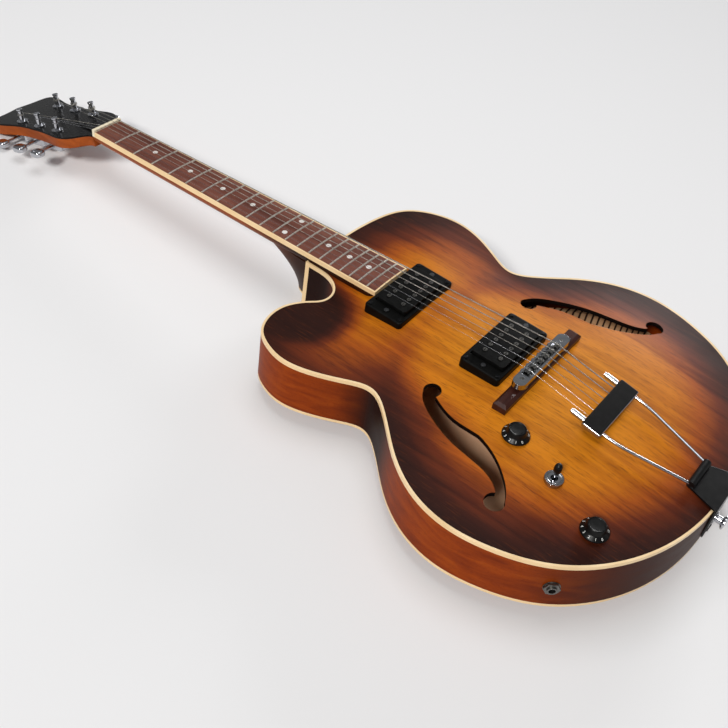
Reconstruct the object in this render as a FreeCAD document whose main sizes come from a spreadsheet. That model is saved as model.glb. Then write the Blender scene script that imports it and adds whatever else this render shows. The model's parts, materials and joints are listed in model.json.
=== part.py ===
import FreeCAD, Part
import math
import os
import Sketcher
from FreeCAD import Placement, Rotation, Vector

# Left-handed hollow-body archtop guitar lying on its back.
# Frame: origin where the tail strap button seats on the tail bracket, half way up the sides.
# +Y runs from tail to head, +Z out of the top, and the cutaway (treble) side is -X.
SIZES = {
    # Body box: outline, sides, plates, edges
    "body_length": 492, "lower_bout": 424, "waist": 260, "upper_bout": 322, "neck_side": 28,
    "rim_depth": 62, "rim_wall": 3.4, "plate_wall": 5, "top_arch": 12, "back_arch": 10,
    "crown_run": 140, "crown_margin": 14, "binding_width": 2.4, "top_binding_height": 4.4,
    "back_binding_height": 3.6, "corner_strip_width": 5.4, "lining_width": 6, "lining_height": 14,
    "plate_gap": 0.25,
    # Sound holes: radii of the round eyes at their ends
    "upper_eye_radius": 9, "lower_eye_radius": 9.8,
    # Blocks and tone bars inside the body
    "neck_block_width": 84, "neck_block_length": 66, "tail_block_width": 100, "tail_block_length": 26,
    "tone_bar_width": 9, "tone_bar_height": 12, "tone_bar_length": 290, "tone_bar_spread": 106,
    "tone_bar_start": 92,
    # Neck, heel and headstock
    "scale_length": 628, "joint_fret": 14, "fret_count": 20, "neck_pitch": 3.4, "board_rise": 11.6,
    "neck_depth_nut": 15, "neck_depth_joint": 18, "tongue_inset": 2.2, "tongue_setback": 5,
    "tongue_corner": 9, "tenon_width": 30, "tenon_length": 36, "tenon_depth": 40,
    "heel_top_width": 51, "heel_top_reach": 96, "heel_bottom_width": 30, "heel_bottom_reach": 25,
    "heel_cap_wall": 2.6, "head_tilt": 13, "head_length": 186, "head_width": 88, "head_thickness": 14,
    "face_thickness": 2,
    # Truss rod and its cover
    "truss_radius": 2.6, "truss_drop": 7, "truss_stop": 12, "truss_nut_radius": 3.8,
    "truss_nut_length": 9, "cover_length": 42, "cover_width": 27, "cover_tip": 10, "cover_wall": 2,
    "cover_gap": 2.5,
    # Fingerboard, frets, dots, nut
    "board_thickness": 6.5, "board_overhang": 12.8, "board_radius": 305, "nut_width": 43,
    "board_end_width": 57, "board_binding": 1.8, "fret_radius": 1.15, "fret_inset": 0.4,
    "dot_radius": 3.1, "dot_depth": 1.5, "octave_dot_spread": 29, "nut_thickness": 4.5,
    "nut_rise": 2.7, "nut_spread": 35, "nut_lift": 1.5,
    # Tuners
    "post_spread": 58, "post_start": 60, "post_pitch": 37, "post_radius": 3, "post_rise": 17,
    "post_cap_radius": 3.9, "post_cap_height": 2.6, "post_hole_radius": 0.9, "post_hole_rise": 12.2,
    "running_fit": 0.06, "bushing_radius": 4.8, "washer_radius": 7.2, "washer_height": 1.6,
    "housing_length": 21, "housing_width": 16, "housing_height": 10, "housing_wall": 1.5,
    "housing_shift": 2.5, "housing_corner": 3, "gear_radius": 4.4, "gear_height": 3, "mesh_gap": 0.5,
    "worm_radius": 1.9, "worm_start": 6, "button_reach": 33, "button_length": 19,
    "button_width": 15, "button_thickness": 8, "button_corner": 6.4, "button_round": 2.8,
    # Strings
    "string_gauge": 1.25, "bridge_spread": 52, "string_rise": 33, "string_seat_gap": 0.1,
    "string_bend": 5, "compensation": 3, "wrap_gap": 0.55, "wrap_clearance": 0.3, "wrap_rise": 11,
    "wrap_quarters": 9, "ball_radius": 1.9, "ball_length": 4,
    # Pickups
    "ring_length": 97, "ring_width": 47, "ring_corner": 4, "ring_round": 1.5, "neck_ring_gap": 1.2,
    "bridge_ring_gap": 10.5, "neck_ring_top": 14.5, "bridge_ring_top": 20, "coil_length": 70,
    "coil_width": 38, "coil_corner": 4, "coil_rise": 4.6, "coil_depth": 24, "coil_clearance": 0.4,
    "pole_radius": 2.3, "pole_rise": 0.7, "pole_spread": 50, "pole_row": 18.5, "pole_depth": 12,
    "height_screw_x": 41, "height_screw_radius": 1.5, "height_screw_head": 2.6,
    "height_screw_head_height": 1.2, "height_screw_length": 22,
    # Bridge
    "base_length": 148, "base_width": 15, "base_height": 8, "base_chamfer": 3, "bridge_length": 98,
    "bridge_width": 14, "bridge_height": 6.4, "stud_spread": 76, "stud_radius": 2, "stud_depth": 5,
    "wheel_radius": 7.6, "wheel_height": 3, "seat_gap": 0.3, "channel_width": 9, "channel_length": 64,
    "channel_floor": 1.6, "saddle_width": 7.4, "saddle_length": 5.4, "saddle_crest": 1,
    "saddle_screw_radius": 1.1, "saddle_screw_head": 1.7, "saddle_screw_head_length": 1.2,
    # Tailpiece
    "bar_y": 130.25, "bar_rise": 20, "bar_length": 82, "bar_depth": 21.5, "bar_thickness": 6,
    "bar_round": 2, "bar_hole_radius": 1.1, "rod_radius": 1.6, "rod_spread": 68, "rod_front": 14,
    "rod_bend_run": 16, "rod_tail_spread": 34, "rod_nut_radius": 3.1, "rod_tip_radius": 2.2,
    "rod_tip_length": 2,
    "bracket_wall": 2, "bracket_front_width": 38, "bracket_tail_width": 58, "bracket_length": 30,
    "bracket_lift": 2.4, "bracket_drop": 49, "bracket_foot_width": 30, "barrel_radius": 4.2,
    # Strap buttons
    "strap_base_radius": 7, "strap_waist_radius": 4.2, "strap_head_radius": 7.6, "strap_base": 2,
    "strap_waist": 7, "strap_height": 11.5, "strap_screw_radius": 2, "strap_screw_length": 20,
    "heel_button_x": 16, "heel_button_y": 15, "heel_button_drop": 14,
    # Controls
    "knob_radius": 13.8, "knob_top_radius": 9.2, "knob_skirt": 3.6,
    "knob_height": 9.6, "knob_cavity_radius": 7.6, "knob_cavity": 5, "knob_gap": 1.2,
    "shaft_radius": 3, "shaft_length": 22, "pot_radius": 8.5, "pot_height": 9,
    "pot_bushing_radius": 3.9, "pot_nut_radius": 6, "pot_nut_height": 2.2, "hole_clearance": 0.3,
    "toggle_nut_radius": 9, "toggle_nut_height": 3.2, "toggle_bushing_radius": 5.4,
    "toggle_bore": 3.6, "toggle_pivot_drop": 3, "lever_radius": 1.5, "lever_length": 12,
    "tip_radius": 3.9, "tip_length": 13, "tip_neck": 2.6, "switch_width": 13, "switch_length": 26,
    "switch_height": 26, "pivot_pin_radius": 2, "pivot_pin_length": 5.6,
    # Output jack in the treble side
    "jack_bore": 3.25, "jack_bushing_radius": 4.7, "jack_stand": 5,
    "jack_nut_radius": 7, "jack_nut_height": 2.6, "jack_washer_radius": 8, "jack_washer": 0.8,
    "jack_body_radius": 9, "jack_body_length": 26, "jack_wall": 1.5,
    # Small fixing screws
    "screw_radius": 1.1, "screw_head_radius": 2.1, "screw_head_height": 1, "screw_length": 14,
    "ring_screw_inset": 4.6, "overrun": 6,
}

# Outline points as shares of half the bout's width and of the body length, tail up to waist.
lower_bout_shares = [(0.36, 0.020), (0.64, 0.075), (0.862, 0.168), (0.97, 0.272), (1.0, 0.352),
                     (0.96, 0.4445), (0.84, 0.528), (0.672, 0.607)]
waist_height_share = 0.655
bass_bout_shares = [(0.86, 0.704), (0.955, 0.768), (1.0, 0.833), (0.965, 0.898), (0.82, 0.963),
                    (0.56, 0.992), (0.28, 1.0)]
cutaway_shares = [(0.86, 0.704), (0.955, 0.768), (1.0, 0.833), (0.965, 0.885), (0.9, 0.918),
                  (0.79, 0.937), (0.69, 0.941), (0.60, 0.936), (0.53, 0.925), (0.47, 0.911),
                  (0.4, 0.893), (0.345, 0.889), (0.275, 0.895), (0.215, 0.913), (0.18, 0.94),
                  (0.174, 0.97)]
# Places on the top as shares of half the lower bout and of the body length.
upper_eye_shares = (0.43, 0.5605)
lower_eye_shares = (0.768, 0.3176)
volume_shares = (0.42, 0.370)
tone_shares = (0.602, 0.148)
toggle_shares = (0.507, 0.261)
jack_shares = (0.84, 0.1565)
# Sound hole edges as shares of the way from the upper eye to the lower eye.
sound_hole_outer_shares = [(0.03, -0.067), (0.17, -0.027), (0.362, 0.115), (0.482, 0.255),
                           (0.593, 0.438), (0.664, 0.665), (0.73, 0.829), (0.885, 0.965)]
sound_hole_upper_inner_shares = [(0.065, 0.061), (0.156, 0.166), (0.236, 0.305), (0.258, 0.442),
                                 (0.265, 0.559)]
sound_hole_lower_inner_shares = [(0.265, 0.559), (0.337, 0.679), (0.462, 0.814), (0.599, 0.92),
                                 (0.752, 1.008), (0.999, 1.075)]
# Headstock edge as shares of its half width and length, from the nut to the tip.
head_edge_shares = [(0.50, 0.05), (0.78, 0.115), (0.985, 0.20), (0.955, 0.33), (0.89, 0.54),
                    (0.94, 0.71), (1.12, 0.87), (1.08, 0.95), (0.6, 0.978), (0.2, 0.99)]
# String thickness as a share of the thickest, and saddle set-back as a share of the largest.
string_gauge_shares = [1.0, 0.8, 0.6, 0.43, 0.34, 0.26]
saddle_setback_shares = [1.0, 0.8, 0.6, 0.75, 0.5, 0.3]
# Heel sections between top and bottom: depth, width and reach shares.
heel_section_shares = [(0.0, 1.0, 1.0), (0.22, 0.93, 0.60), (0.45, 0.72, 0.26), (0.72, 0.36, 0.07),
                       (1.0, 0.0, 0.0)]
# Truss rod pocket as a share of its cover's length, and the cover's screws as shares of its size.
truss_pocket_share = 0.7
cover_screw_shares = [(-0.36, 0.12), (0.36, 0.12), (0.0, 0.9)]
# How much of the rod's bend run is curved, and where the switch tip is widest and rounds over.
# The tuner grips' edges are rounded by at most this share of their half width and thickness.
rod_bend_share = 0.8
grip_round_share = 0.9
tip_wide_share = 0.5
tip_shoulder_share = 0.8
dot_frets = [3, 5, 7, 9, 15, 17, 19]
octave_fret = 12
crown_columns = 27
crown_rows = 31
smoothing_passes = 5
samples_per_span = 3
bisection_steps = 40
string_count = 6
full_turn = 360
quarter_turn = 90

doc = FreeCAD.newDocument("archtop_guitar")
s = doc.addObject("Spreadsheet::Sheet", "Sizes")
for row, (alias, value) in enumerate(SIZES.items(), start=1):
    s.set(f"A{row}", alias)
    s.set(f"B{row}", str(value))
    s.setAlias(f"B{row}", alias)
doc.recompute()

nodes = {}
X_AXIS = Vector(1, 0, 0)
Y_AXIS = Vector(0, 1, 0)
Z_AXIS = Vector(0, 0, 1)


# Helpers that make document objects
def keep(label, piece):
    """Record a finished sub-part under its own label."""
    piece.Label = label
    nodes[label] = piece
    return piece


def free_form(label, shape):
    """A sub-part whose curved shape is worked out from the sizes in code."""
    piece = doc.addObject("Part::Feature", label)
    piece.Shape = shape
    return keep(label, piece)


def bound(kind, name, place, **formulas):
    """A primitive whose properties follow the sheet."""
    piece = doc.addObject(kind, name)
    for prop, formula in formulas.items():
        piece.setExpression(prop, formula)
    piece.Placement = place
    return piece


def cut(name, base, tool):
    piece = doc.addObject("Part::Cut", name)
    piece.Base = base
    piece.Tool = tool
    return piece


def grouped(label, pieces):
    """Several separate solids of one kind under one label."""
    piece = doc.addObject("Part::Compound", label)
    piece.Links = pieces
    return keep(label, piece)


def profile(body, role, name, corners):
    """Closed straight-sided sketch whose corners are pairs of formulas."""
    sketch = body.newObject("Sketcher::SketchObject", name)
    plane = [item for item in body.Origin.OriginFeatures if item.Role == role][0]
    sketch.AttachmentSupport = [(plane, "")]
    sketch.MapMode = "FlatFace"
    spots = [Vector(s.evalExpression(across), s.evalExpression(up), 0) for across, up in corners]
    last = len(spots) - 1
    for index, spot in enumerate(spots):
        sketch.addGeometry(Part.LineSegment(spot, spots[0 if index == last else index + 1]))
    for index in range(last + 1):
        following = 0 if index == last else index + 1
        sketch.addConstraint(Sketcher.Constraint("Coincident", index, 2, following, 1))
    for index, (across, up) in enumerate(corners):
        for kind, formula in (("DistanceX", across), ("DistanceY", up)):
            start = s.evalExpression(formula)
            number = sketch.addConstraint(Sketcher.Constraint(kind, -1, 1, index, 1, start))
            sketch.setExpression(f"Constraints[{number}]", formula)
    return sketch


def turned(name, place, corners):
    """A round piece turned about its own Z axis from (radius, height) corners."""
    body = doc.addObject("PartDesign::Body", name)
    sketch = profile(body, "XZ_Plane", f"{name}_profile", corners)
    turn = body.newObject("PartDesign::Revolution", f"{name}_turn")
    turn.Profile = sketch
    turn.ReferenceAxis = (sketch, ["V_Axis"])
    turn.Angle = full_turn
    body.Placement = place
    return body


def padded(name, place, corners, length):
    """A flat piece drawn from above and given its thickness upward."""
    body = doc.addObject("PartDesign::Body", name)
    sketch = profile(body, "XY_Plane", f"{name}_profile", corners)
    pad = body.newObject("PartDesign::Pad", f"{name}_pad")
    pad.Profile = sketch
    pad.setExpression("Length", length)
    body.Placement = place
    return body


# Helpers that make shapes
def spline(points):
    curve = Part.BSplineCurve()
    curve.interpolate(points)
    return curve


def block(low, high):
    span = high - low
    return Part.makeBox(span.x, span.y, span.z, low)


def rod_between(start, end, radius):
    return Part.makeCylinder(radius, (end - start).Length, start, end - start)


def at(x, y, z):
    return Placement(Vector(x, y, z), Rotation())


def along(position, direction):
    """Place a turned piece so that its Z axis points in the given direction."""
    return Placement(position, Rotation(Z_AXIS, direction))


# Shared places worked out from the sizes
tail = s.bracket_wall
joint_y = tail + s.body_length
rim_top = s.rim_depth / 2
rim_bottom = -rim_top
plate_under = rim_top - s.plate_wall
seat_level = plate_under - s.plate_gap


def fret_run(number):
    """Distance from the nut to a fret of the equal-tempered scale."""
    return s.scale_length * (1 - 2 ** (-number / 12))


pitch = math.radians(s.neck_pitch)
joint_run = fret_run(s.joint_fret)
nut_y = joint_y + joint_run * math.cos(pitch)
nut_z = rim_top + s.board_rise - joint_run * math.sin(pitch)
neck_frame = Placement(Vector(0, nut_y, nut_z), Rotation(X_AXIS, -s.neck_pitch))
head_frame = neck_frame.multiply(
    Placement(Vector(0, s.nut_thickness, -s.board_thickness), Rotation(X_AXIS, -s.head_tilt)))


def in_neck(x, y, z):
    return neck_frame.multVec(Vector(x, y, z))


def in_head(x, y, z):
    return head_frame.multVec(Vector(x, y, z))


# Body outline
def outline_points():
    """Points from the bass side of the neck, round the tail, to the cutaway corner."""
    lower = [(x * s.lower_bout / 2, tail + y * s.body_length) for x, y in lower_bout_shares]
    waist = (s.waist / 2, tail + waist_height_share * s.body_length)
    bass = [(x * s.upper_bout / 2, tail + y * s.body_length) for x, y in bass_bout_shares]
    treble = [(x * s.upper_bout / 2, tail + y * s.body_length) for x, y in cutaway_shares]
    right = [(s.neck_side, joint_y)] + bass[::-1] + [waist] + lower[::-1]
    left = lower + [waist] + treble + [(s.neck_side, joint_y)]
    points = [Vector(x, y, 0) for x, y in right]
    points.append(Vector(0, tail, 0))
    points.extend(Vector(-x, y, 0) for x, y in left)
    return points


outline = spline(outline_points())


def inward(u):
    along_edge = outline.tangent(u)[0]
    return Vector(along_edge.y, -along_edge.x, 0)


def outline_samples():
    knots = outline.getKnots()
    for start, end in zip(knots, knots[1:]):
        for step in range(samples_per_span):
            yield start + (end - start) * step / samples_per_span
    yield knots[-1]


def body_wire(inset):
    """Closed outline moved inward by inset, straight across the neck."""
    if inset == 0:
        curve = outline
        stop = curve.LastParameter
    else:
        curve = spline([outline.value(u) + inward(u) * inset for u in outline_samples()])
        stop = neck_crossing(curve, joint_y - inset)
    edge = curve.toShape(curve.FirstParameter, stop)
    across = Part.LineSegment(curve.value(stop), curve.value(curve.FirstParameter)).toShape()
    return Part.Wire([edge, across])


def neck_crossing(curve, level):
    """Where the cutaway end of the outline reaches the given distance from the tail."""
    low, high = curve.getKnots()[-2], curve.LastParameter
    while curve.value(low).y > level:
        low -= high - low
    for _ in range(bisection_steps):
        middle = (low + high) / 2
        if curve.value(middle).y < level:
            low = middle
        else:
            high = middle
    return high


def body_prism(inset, low, high):
    """Upright prism of the inset outline between two heights."""
    face = Part.Face(body_wire(inset))
    face.translate(Vector(0, 0, low))
    return face.extrude(Vector(0, 0, high - low))


def body_ring(outer_inset, inner_inset, low, high):
    """Upright wall between two inset outlines."""
    face = Part.makeFace([body_wire(outer_inset), body_wire(inner_inset)], "Part::FaceMakerBullseye")
    face.translate(Vector(0, 0, low))
    return face.extrude(Vector(0, 0, high - low))


# Arch of the plates
def edge_distance(x, y, polygon):
    """Distance to the outline, positive inside."""
    nearest = s.body_length
    inside = False
    for start, end in zip(polygon, polygon[1:] + polygon[:1]):
        dx = end.x - start.x
        dy = end.y - start.y
        share = ((x - start.x) * dx + (y - start.y) * dy) / (dx * dx + dy * dy)
        share = min(1, max(0, share))
        nearest = min(nearest, math.hypot(start.x + share * dx - x, start.y + share * dy - y))
        if (start.y > y) != (end.y > y) and x < start.x + (y - start.y) * dx / dy:
            inside = not inside
    return nearest if inside else -nearest


def crown_grid():
    """Arch height as a share of the full arch, on a grid over the body."""
    polygon = [outline.value(u) for u in outline_samples()]
    wide = s.lower_bout / 2 + s.crown_margin
    low = tail - s.crown_margin
    high = joint_y + s.crown_margin
    xs = [-wide + 2 * wide * i / (crown_columns - 1) for i in range(crown_columns)]
    ys = [low + (high - low) * j / (crown_rows - 1) for j in range(crown_rows)]
    depth = [[edge_distance(x, y, polygon) for y in ys] for x in xs]
    rise = [[ease(d / s.crown_run) for d in column] for column in depth]
    for _ in range(smoothing_passes):
        rise = smoothed(rise, depth)
    return xs, ys, rise


def ease(share):
    """Smooth step from 0 to 1 with level ends."""
    share = min(1, max(0, share))
    return share * share * (3 - 2 * share)


def smoothed(rise, depth):
    """Each point well inside the edge moves half way to the mean of its neighbours."""
    result = [column[:] for column in rise]
    for i in range(1, crown_columns - 1):
        for j in range(1, crown_rows - 1):
            if depth[i][j] > s.crown_margin:
                mean = (rise[i - 1][j] + rise[i + 1][j] + rise[i][j - 1] + rise[i][j + 1]) / 4
                result[i][j] = (rise[i][j] + mean) / 2
    return result


crown_xs, crown_ys, crown_rise = crown_grid()


def crown_face(base, arch):
    """Curved face whose height is base plus the arch."""
    points = [[Vector(x, y, base + arch * crown_rise[i][j]) for j, y in enumerate(crown_ys)]
              for i, x in enumerate(crown_xs)]
    surface = Part.BSplineSurface()
    surface.interpolate(points)
    return surface.toShape()


def top_height(x, y):
    """Height of the top's outer face, read between the grid points."""
    across = (x - crown_xs[0]) / (crown_xs[1] - crown_xs[0])
    up = (y - crown_ys[0]) / (crown_ys[1] - crown_ys[0])
    i = int(across)
    j = int(up)
    a = across - i
    b = up - j
    near = crown_rise[i][j] * (1 - a) + crown_rise[i + 1][j] * a
    far = crown_rise[i][j + 1] * (1 - a) + crown_rise[i + 1][j + 1] * a
    return rim_top + s.top_arch * (near * (1 - b) + far * b)


top_face = crown_face(rim_top, s.top_arch)
under_top = top_face.extrude(Vector(0, 0, -s.rim_depth))
above_top_inside = crown_face(plate_under, s.top_arch).extrude(Vector(0, 0, s.rim_depth))


# Sound holes
def on_top(side, shares):
    """Place on the body given as shares of half the lower bout and of the body length."""
    across, up = shares
    return Vector(side * across * s.lower_bout / 2, tail + up * s.body_length, 0)


def sound_hole(side):
    """Cutter for one f-shaped sound hole: two eyes and the swelling stem between them."""
    start = on_top(side, upper_eye_shares)
    end = on_top(side, lower_eye_shares)
    way = end - start

    def edge(shares):
        return [Vector(start.x + a * way.x, start.y + b * way.y, 0) for a, b in shares]

    outer = edge(sound_hole_outer_shares)
    upper_inner = edge(sound_hole_upper_inner_shares)
    lower_inner = edge(sound_hole_lower_inner_shares)
    stem = Part.Face(Part.Wire([
        spline(outer).toShape(), Part.LineSegment(outer[-1], lower_inner[-1]).toShape(),
        spline(lower_inner[::-1]).toShape(), spline(upper_inner[::-1]).toShape(),
        Part.LineSegment(upper_inner[0], outer[0]).toShape()]))
    lift = Vector(0, 0, plate_under - s.overrun)
    height = s.plate_wall + s.top_arch + 2 * s.overrun
    solid = stem.extrude(Vector(0, 0, height))
    solid = solid.fuse(Part.makeCylinder(s.upper_eye_radius, height, start))
    solid = solid.fuse(Part.makeCylinder(s.lower_eye_radius, height, end))
    solid.translate(lift)
    return solid


def upright_hole(x, y, radius):
    """Cutter through the top plate."""
    height = s.plate_wall + s.top_arch + 2 * s.overrun
    return Part.makeCylinder(radius, height, Vector(x, y, plate_under - s.overrun))


volume_spot = on_top(-1, volume_shares)
tone_spot = on_top(-1, tone_shares)
toggle_spot = on_top(-1, toggle_shares)
board_length = fret_run(s.fret_count) + s.board_overhang
bridge_y = in_neck(0, -s.scale_length - s.compensation / 2, 0).y
neck_ring_y = in_neck(0, -board_length, 0).y - s.neck_ring_gap - s.ring_width / 2
bridge_ring_y = bridge_y + s.base_width / 2 + s.bridge_ring_gap + s.ring_width / 2
ring_places = [(neck_ring_y, rim_top + s.neck_ring_top), (bridge_ring_y, rim_top + s.bridge_ring_top)]


def coil_window(y, clearance, low, high):
    half = Vector(s.coil_length / 2 + clearance, s.coil_width / 2 + clearance, 0)
    return block(Vector(-half.x, y - half.y, low), Vector(half.x, y + half.y, high))


# Small screws: place, direction into the work, and length
def ring_screw_spots():
    for y, height in ring_places:
        for side in (-1, 1):
            for end in (-1, 1):
                x = side * (s.ring_length / 2 - s.ring_screw_inset)
                yield Vector(x, y + end * (s.ring_width / 2 - s.ring_screw_inset), height)


def bracket_screw_spots():
    for side in (-1, 0, 1):
        drop = s.bracket_drop - 2 * s.screw_head_radius * (1 + abs(side))
        yield Vector(side * s.bracket_foot_width / 3, 0, rim_top - drop)


def cover_screw_spots():
    for across, up in cover_screw_shares:
        yield in_head(across * s.cover_width, s.cover_gap + up * s.cover_length, s.cover_wall)


def tuner_screw_spots():
    for side, run in tuner_spots():
        y = run - s.housing_length / 2 + s.housing_shift + 2 * s.housing_wall
        yield in_head(side * (s.post_spread / 2 + s.housing_width / 3), y,
                      s.screw_head_height - s.head_thickness - s.housing_height)


def tuner_spots():
    """Side and distance from the nut of each post, thickest string first."""
    for order in range(string_count):
        side = 1 if order < string_count / 2 else -1
        step = order if side > 0 else string_count - 1 - order
        yield side, s.post_start + s.post_pitch * step


head_normal = head_frame.Rotation.multVec(Z_AXIS)


def screw(spot, direction):
    """One small pan-head screw with its head on the spot."""
    shank = Part.makeCylinder(s.screw_radius, s.screw_length, spot, direction)
    head = Part.makeCylinder(s.screw_head_radius, s.screw_head_height, spot, direction * -1)
    return shank.fuse(head).removeSplitter()


def screw_hole(spot, direction):
    return Part.makeCylinder(s.screw_radius, s.screw_length, spot, direction)


ring_holes = [screw_hole(spot, Z_AXIS * -1) for spot in ring_screw_spots()]
bracket_holes = [screw_hole(spot, Y_AXIS) for spot in bracket_screw_spots()]
cover_holes = [screw_hole(spot, head_normal * -1) for spot in cover_screw_spots()]
tuner_screws = [screw(spot, head_normal) for spot in tuner_screw_spots()]
free_form("fixing_screws", Part.makeCompound(
    [screw(spot, Z_AXIS * -1) for spot in ring_screw_spots()]
    + [screw(spot, Y_AXIS) for spot in bracket_screw_spots()]
    + [screw(spot, head_normal * -1) for spot in cover_screw_spots()]
    + tuner_screws))


# Top plate: arched, with sound holes, pickup windows and control holes
plate_inset = s.binding_width + s.plate_gap


def top_plate():
    slab = top_face.extrude(Vector(0, 0, -s.plate_wall))
    high = rim_top + s.top_arch + s.overrun
    plate = slab.common(body_prism(plate_inset, plate_under - s.overrun, high))
    tools = [sound_hole(1), sound_hole(-1)]
    tools.extend(coil_window(y, s.coil_clearance, plate_under - s.overrun, high) for y, _ in ring_places)
    for spot in (volume_spot, tone_spot):
        tools.append(upright_hole(spot.x, spot.y, s.pot_bushing_radius + s.hole_clearance))
    tools.append(upright_hole(toggle_spot.x, toggle_spot.y, s.toggle_bushing_radius + s.hole_clearance))
    for y, _ in ring_places:
        for side in (-1, 1):
            tools.append(upright_hole(side * s.height_screw_x, y, s.height_screw_radius + s.hole_clearance))
    return plate.cut(tools + ring_holes)


free_form("top_plate", top_plate())


# Back plate: arched the other way, whole
def back_plate():
    slab = crown_face(rim_bottom, -s.back_arch).extrude(Vector(0, 0, s.plate_wall))
    return slab.common(body_prism(plate_inset, rim_bottom - s.back_arch - s.overrun, 0))


free_form("back_plate", back_plate())


# Sides: three bent pieces with lips behind the bindings, open for tenon, jack and strap screw
jack_share = outline.parameter(on_top(-1, jack_shares))
jack_spot = outline.value(jack_share)
jack_out = inward(jack_share) * -1
jack_hole = Part.makeCylinder(s.jack_bushing_radius, 2 * s.overrun + s.rim_wall,
                              jack_spot + jack_out * s.overrun, jack_out * -1)
tenon = block(Vector(-s.tenon_width / 2, joint_y - s.tenon_length, plate_under - s.tenon_depth),
              Vector(s.tenon_width / 2, joint_y, plate_under))
strap_hole = Part.makeCylinder(s.strap_screw_radius, s.strap_screw_length, Vector(0, 0, 0), Y_AXIS)
heel_button_spot = Vector(s.heel_button_x, joint_y + s.heel_button_y, -s.heel_button_drop)
corner_strip = block(
    Vector(-s.neck_side - s.overrun, joint_y - s.corner_strip_width, rim_bottom + s.back_binding_height),
    Vector(-s.neck_side + s.binding_width, joint_y, rim_top - s.top_binding_height))


def wall_faces(wire, low, high):
    """Upright faces on a closed outline between two heights."""
    if low == high:
        return []
    base = wire.copy()
    base.translate(Vector(0, 0, low))
    return base.extrude(Vector(0, 0, high - low)).Faces


def rim():
    """Side wall, stepped at both edges to take the bindings and the plates."""
    outside, step, inside = [body_wire(inset) for inset in (0, s.binding_width, s.rim_wall)]
    ledges = [s.back_binding_height - rim_top, rim_top - s.top_binding_height]
    seats = [-seat_level, seat_level]
    faces = wall_faces(outside, *ledges) + wall_faces(inside, *seats)
    for ledge, seat in zip(ledges, seats):
        faces.extend(wall_faces(step, ledge, seat))
        for outer, inner, level in ((outside, step, ledge), (step, inside, seat)):
            flat = Part.makeFace([outer, inner], "Part::FaceMakerBullseye")
            flat.translate(Vector(0, 0, level))
            faces.append(flat)
    shell = Part.makeShell(faces)
    shell.sewShape()
    wall = Part.makeSolid(shell)
    if wall.Volume < 0:
        wall.reverse()
    return wall.cut([tenon, jack_hole, strap_hole, corner_strip] + bracket_holes)


def bent_pieces(wall):
    """The wall parted at the tail, the neck and the cutaway side's waist, where its pieces butt."""
    low = Vector(-s.lower_bout, -s.overrun, rim_bottom)
    high = Vector(s.lower_bout, joint_y + s.overrun, rim_top)
    waist_y = tail + waist_height_share * s.body_length
    rooms = [block(Vector(0, low.y, low.z), high), block(low, Vector(0, waist_y, high.z)),
             block(Vector(low.x, waist_y, low.z), Vector(0, high.y, high.z))]
    return [wall.common(room) for room in rooms]


free_form("rim", Part.makeCompound(bent_pieces(rim())))
free_form("corner_binding", corner_strip.common(body_prism(0, rim_bottom, rim_top)))


# Bindings: cream strips let into both edges
top_edge = body_ring(0, s.binding_width, rim_top - s.top_binding_height, rim_top)
free_form("top_binding", top_edge.cut([tenon] + bracket_holes))
free_form("back_binding", body_ring(0, s.binding_width, rim_bottom, rim_bottom + s.back_binding_height))


# Linings, blocks and tone bars inside the body
def block_rooms(low, high):
    """Boxes that the neck block and the tail block fill."""
    half = s.neck_block_width / 2
    neck_end = block(Vector(-half, joint_y - s.neck_block_length, low), Vector(half, joint_y, high))
    half = s.tail_block_width / 2
    tail_end = block(Vector(-half, 0, low), Vector(half, tail + s.tail_block_length, high))
    return [neck_end, tail_end]


def inner_blocks():
    """Solid wood at the neck and tail ends, inside the sides and between the plates."""
    inside = body_prism(s.rim_wall, -seat_level, seat_level)
    return [inside.common(room) for room in block_rooms(rim_bottom, rim_top)]


neck_block, tail_block = inner_blocks()
free_form("neck_block", neck_block.cut([tenon]))
free_form("tail_block", tail_block.cut([strap_hole] + bracket_holes))


def lining(low, high):
    """Glue strip round the inside of the sides, stopped at the blocks and the jack."""
    strip = body_ring(s.rim_wall, s.rim_wall + s.lining_width, low, high)
    return strip.cut(block_rooms(low, high))


free_form("top_lining", lining(seat_level - s.lining_height, seat_level))
free_form("back_lining", lining(-seat_level, s.lining_height - seat_level))


def tone_bar(side):
    """Brace glued along the underside of the top."""
    x = side * s.tone_bar_spread / 2
    floor = plate_under - s.tone_bar_height + s.top_arch
    low = Vector(x - s.tone_bar_width / 2, tail + s.tone_bar_start, floor)
    high = Vector(x + s.tone_bar_width / 2, low.y + s.tone_bar_length, plate_under + 2 * s.top_arch)
    return block(low, high).cut(above_top_inside)


free_form("tone_bars", Part.makeCompound([tone_bar(side) for side in (-1, 1)]))


# Fingerboard and its fittings, in the neck's own frame
def board_half_width(run):
    return (s.nut_width + (s.board_end_width - s.nut_width) * run / fret_run(s.fret_count)) / 2


def board_blank(inset, low, high):
    """Tapered blank from the nut to the board's end, narrower by inset on three edges."""
    end = board_length - inset
    near = board_half_width(0) - inset
    far = board_half_width(board_length) - inset
    corners = [Vector(-near, 0, low), Vector(near, 0, low), Vector(far, -end, low), Vector(-far, -end, low)]
    face = Part.Face(Part.makePolygon(corners + corners[:1]))
    return face.extrude(Vector(0, 0, high - low))


board_crown = Part.makeCylinder(s.board_radius, board_length + 2 * s.overrun,
                                Vector(0, s.overrun, -s.board_radius), Y_AXIS * -1)


def dot_spots():
    for number in dot_frets:
        yield 0, -(fret_run(number) + fret_run(number - 1)) / 2
    for side in (-1, 1):
        yield side * s.octave_dot_spread / 2, -(fret_run(octave_fret) + fret_run(octave_fret - 1)) / 2


def in_neck_frame(shape):
    shape.Placement = neck_frame
    return shape


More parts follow.
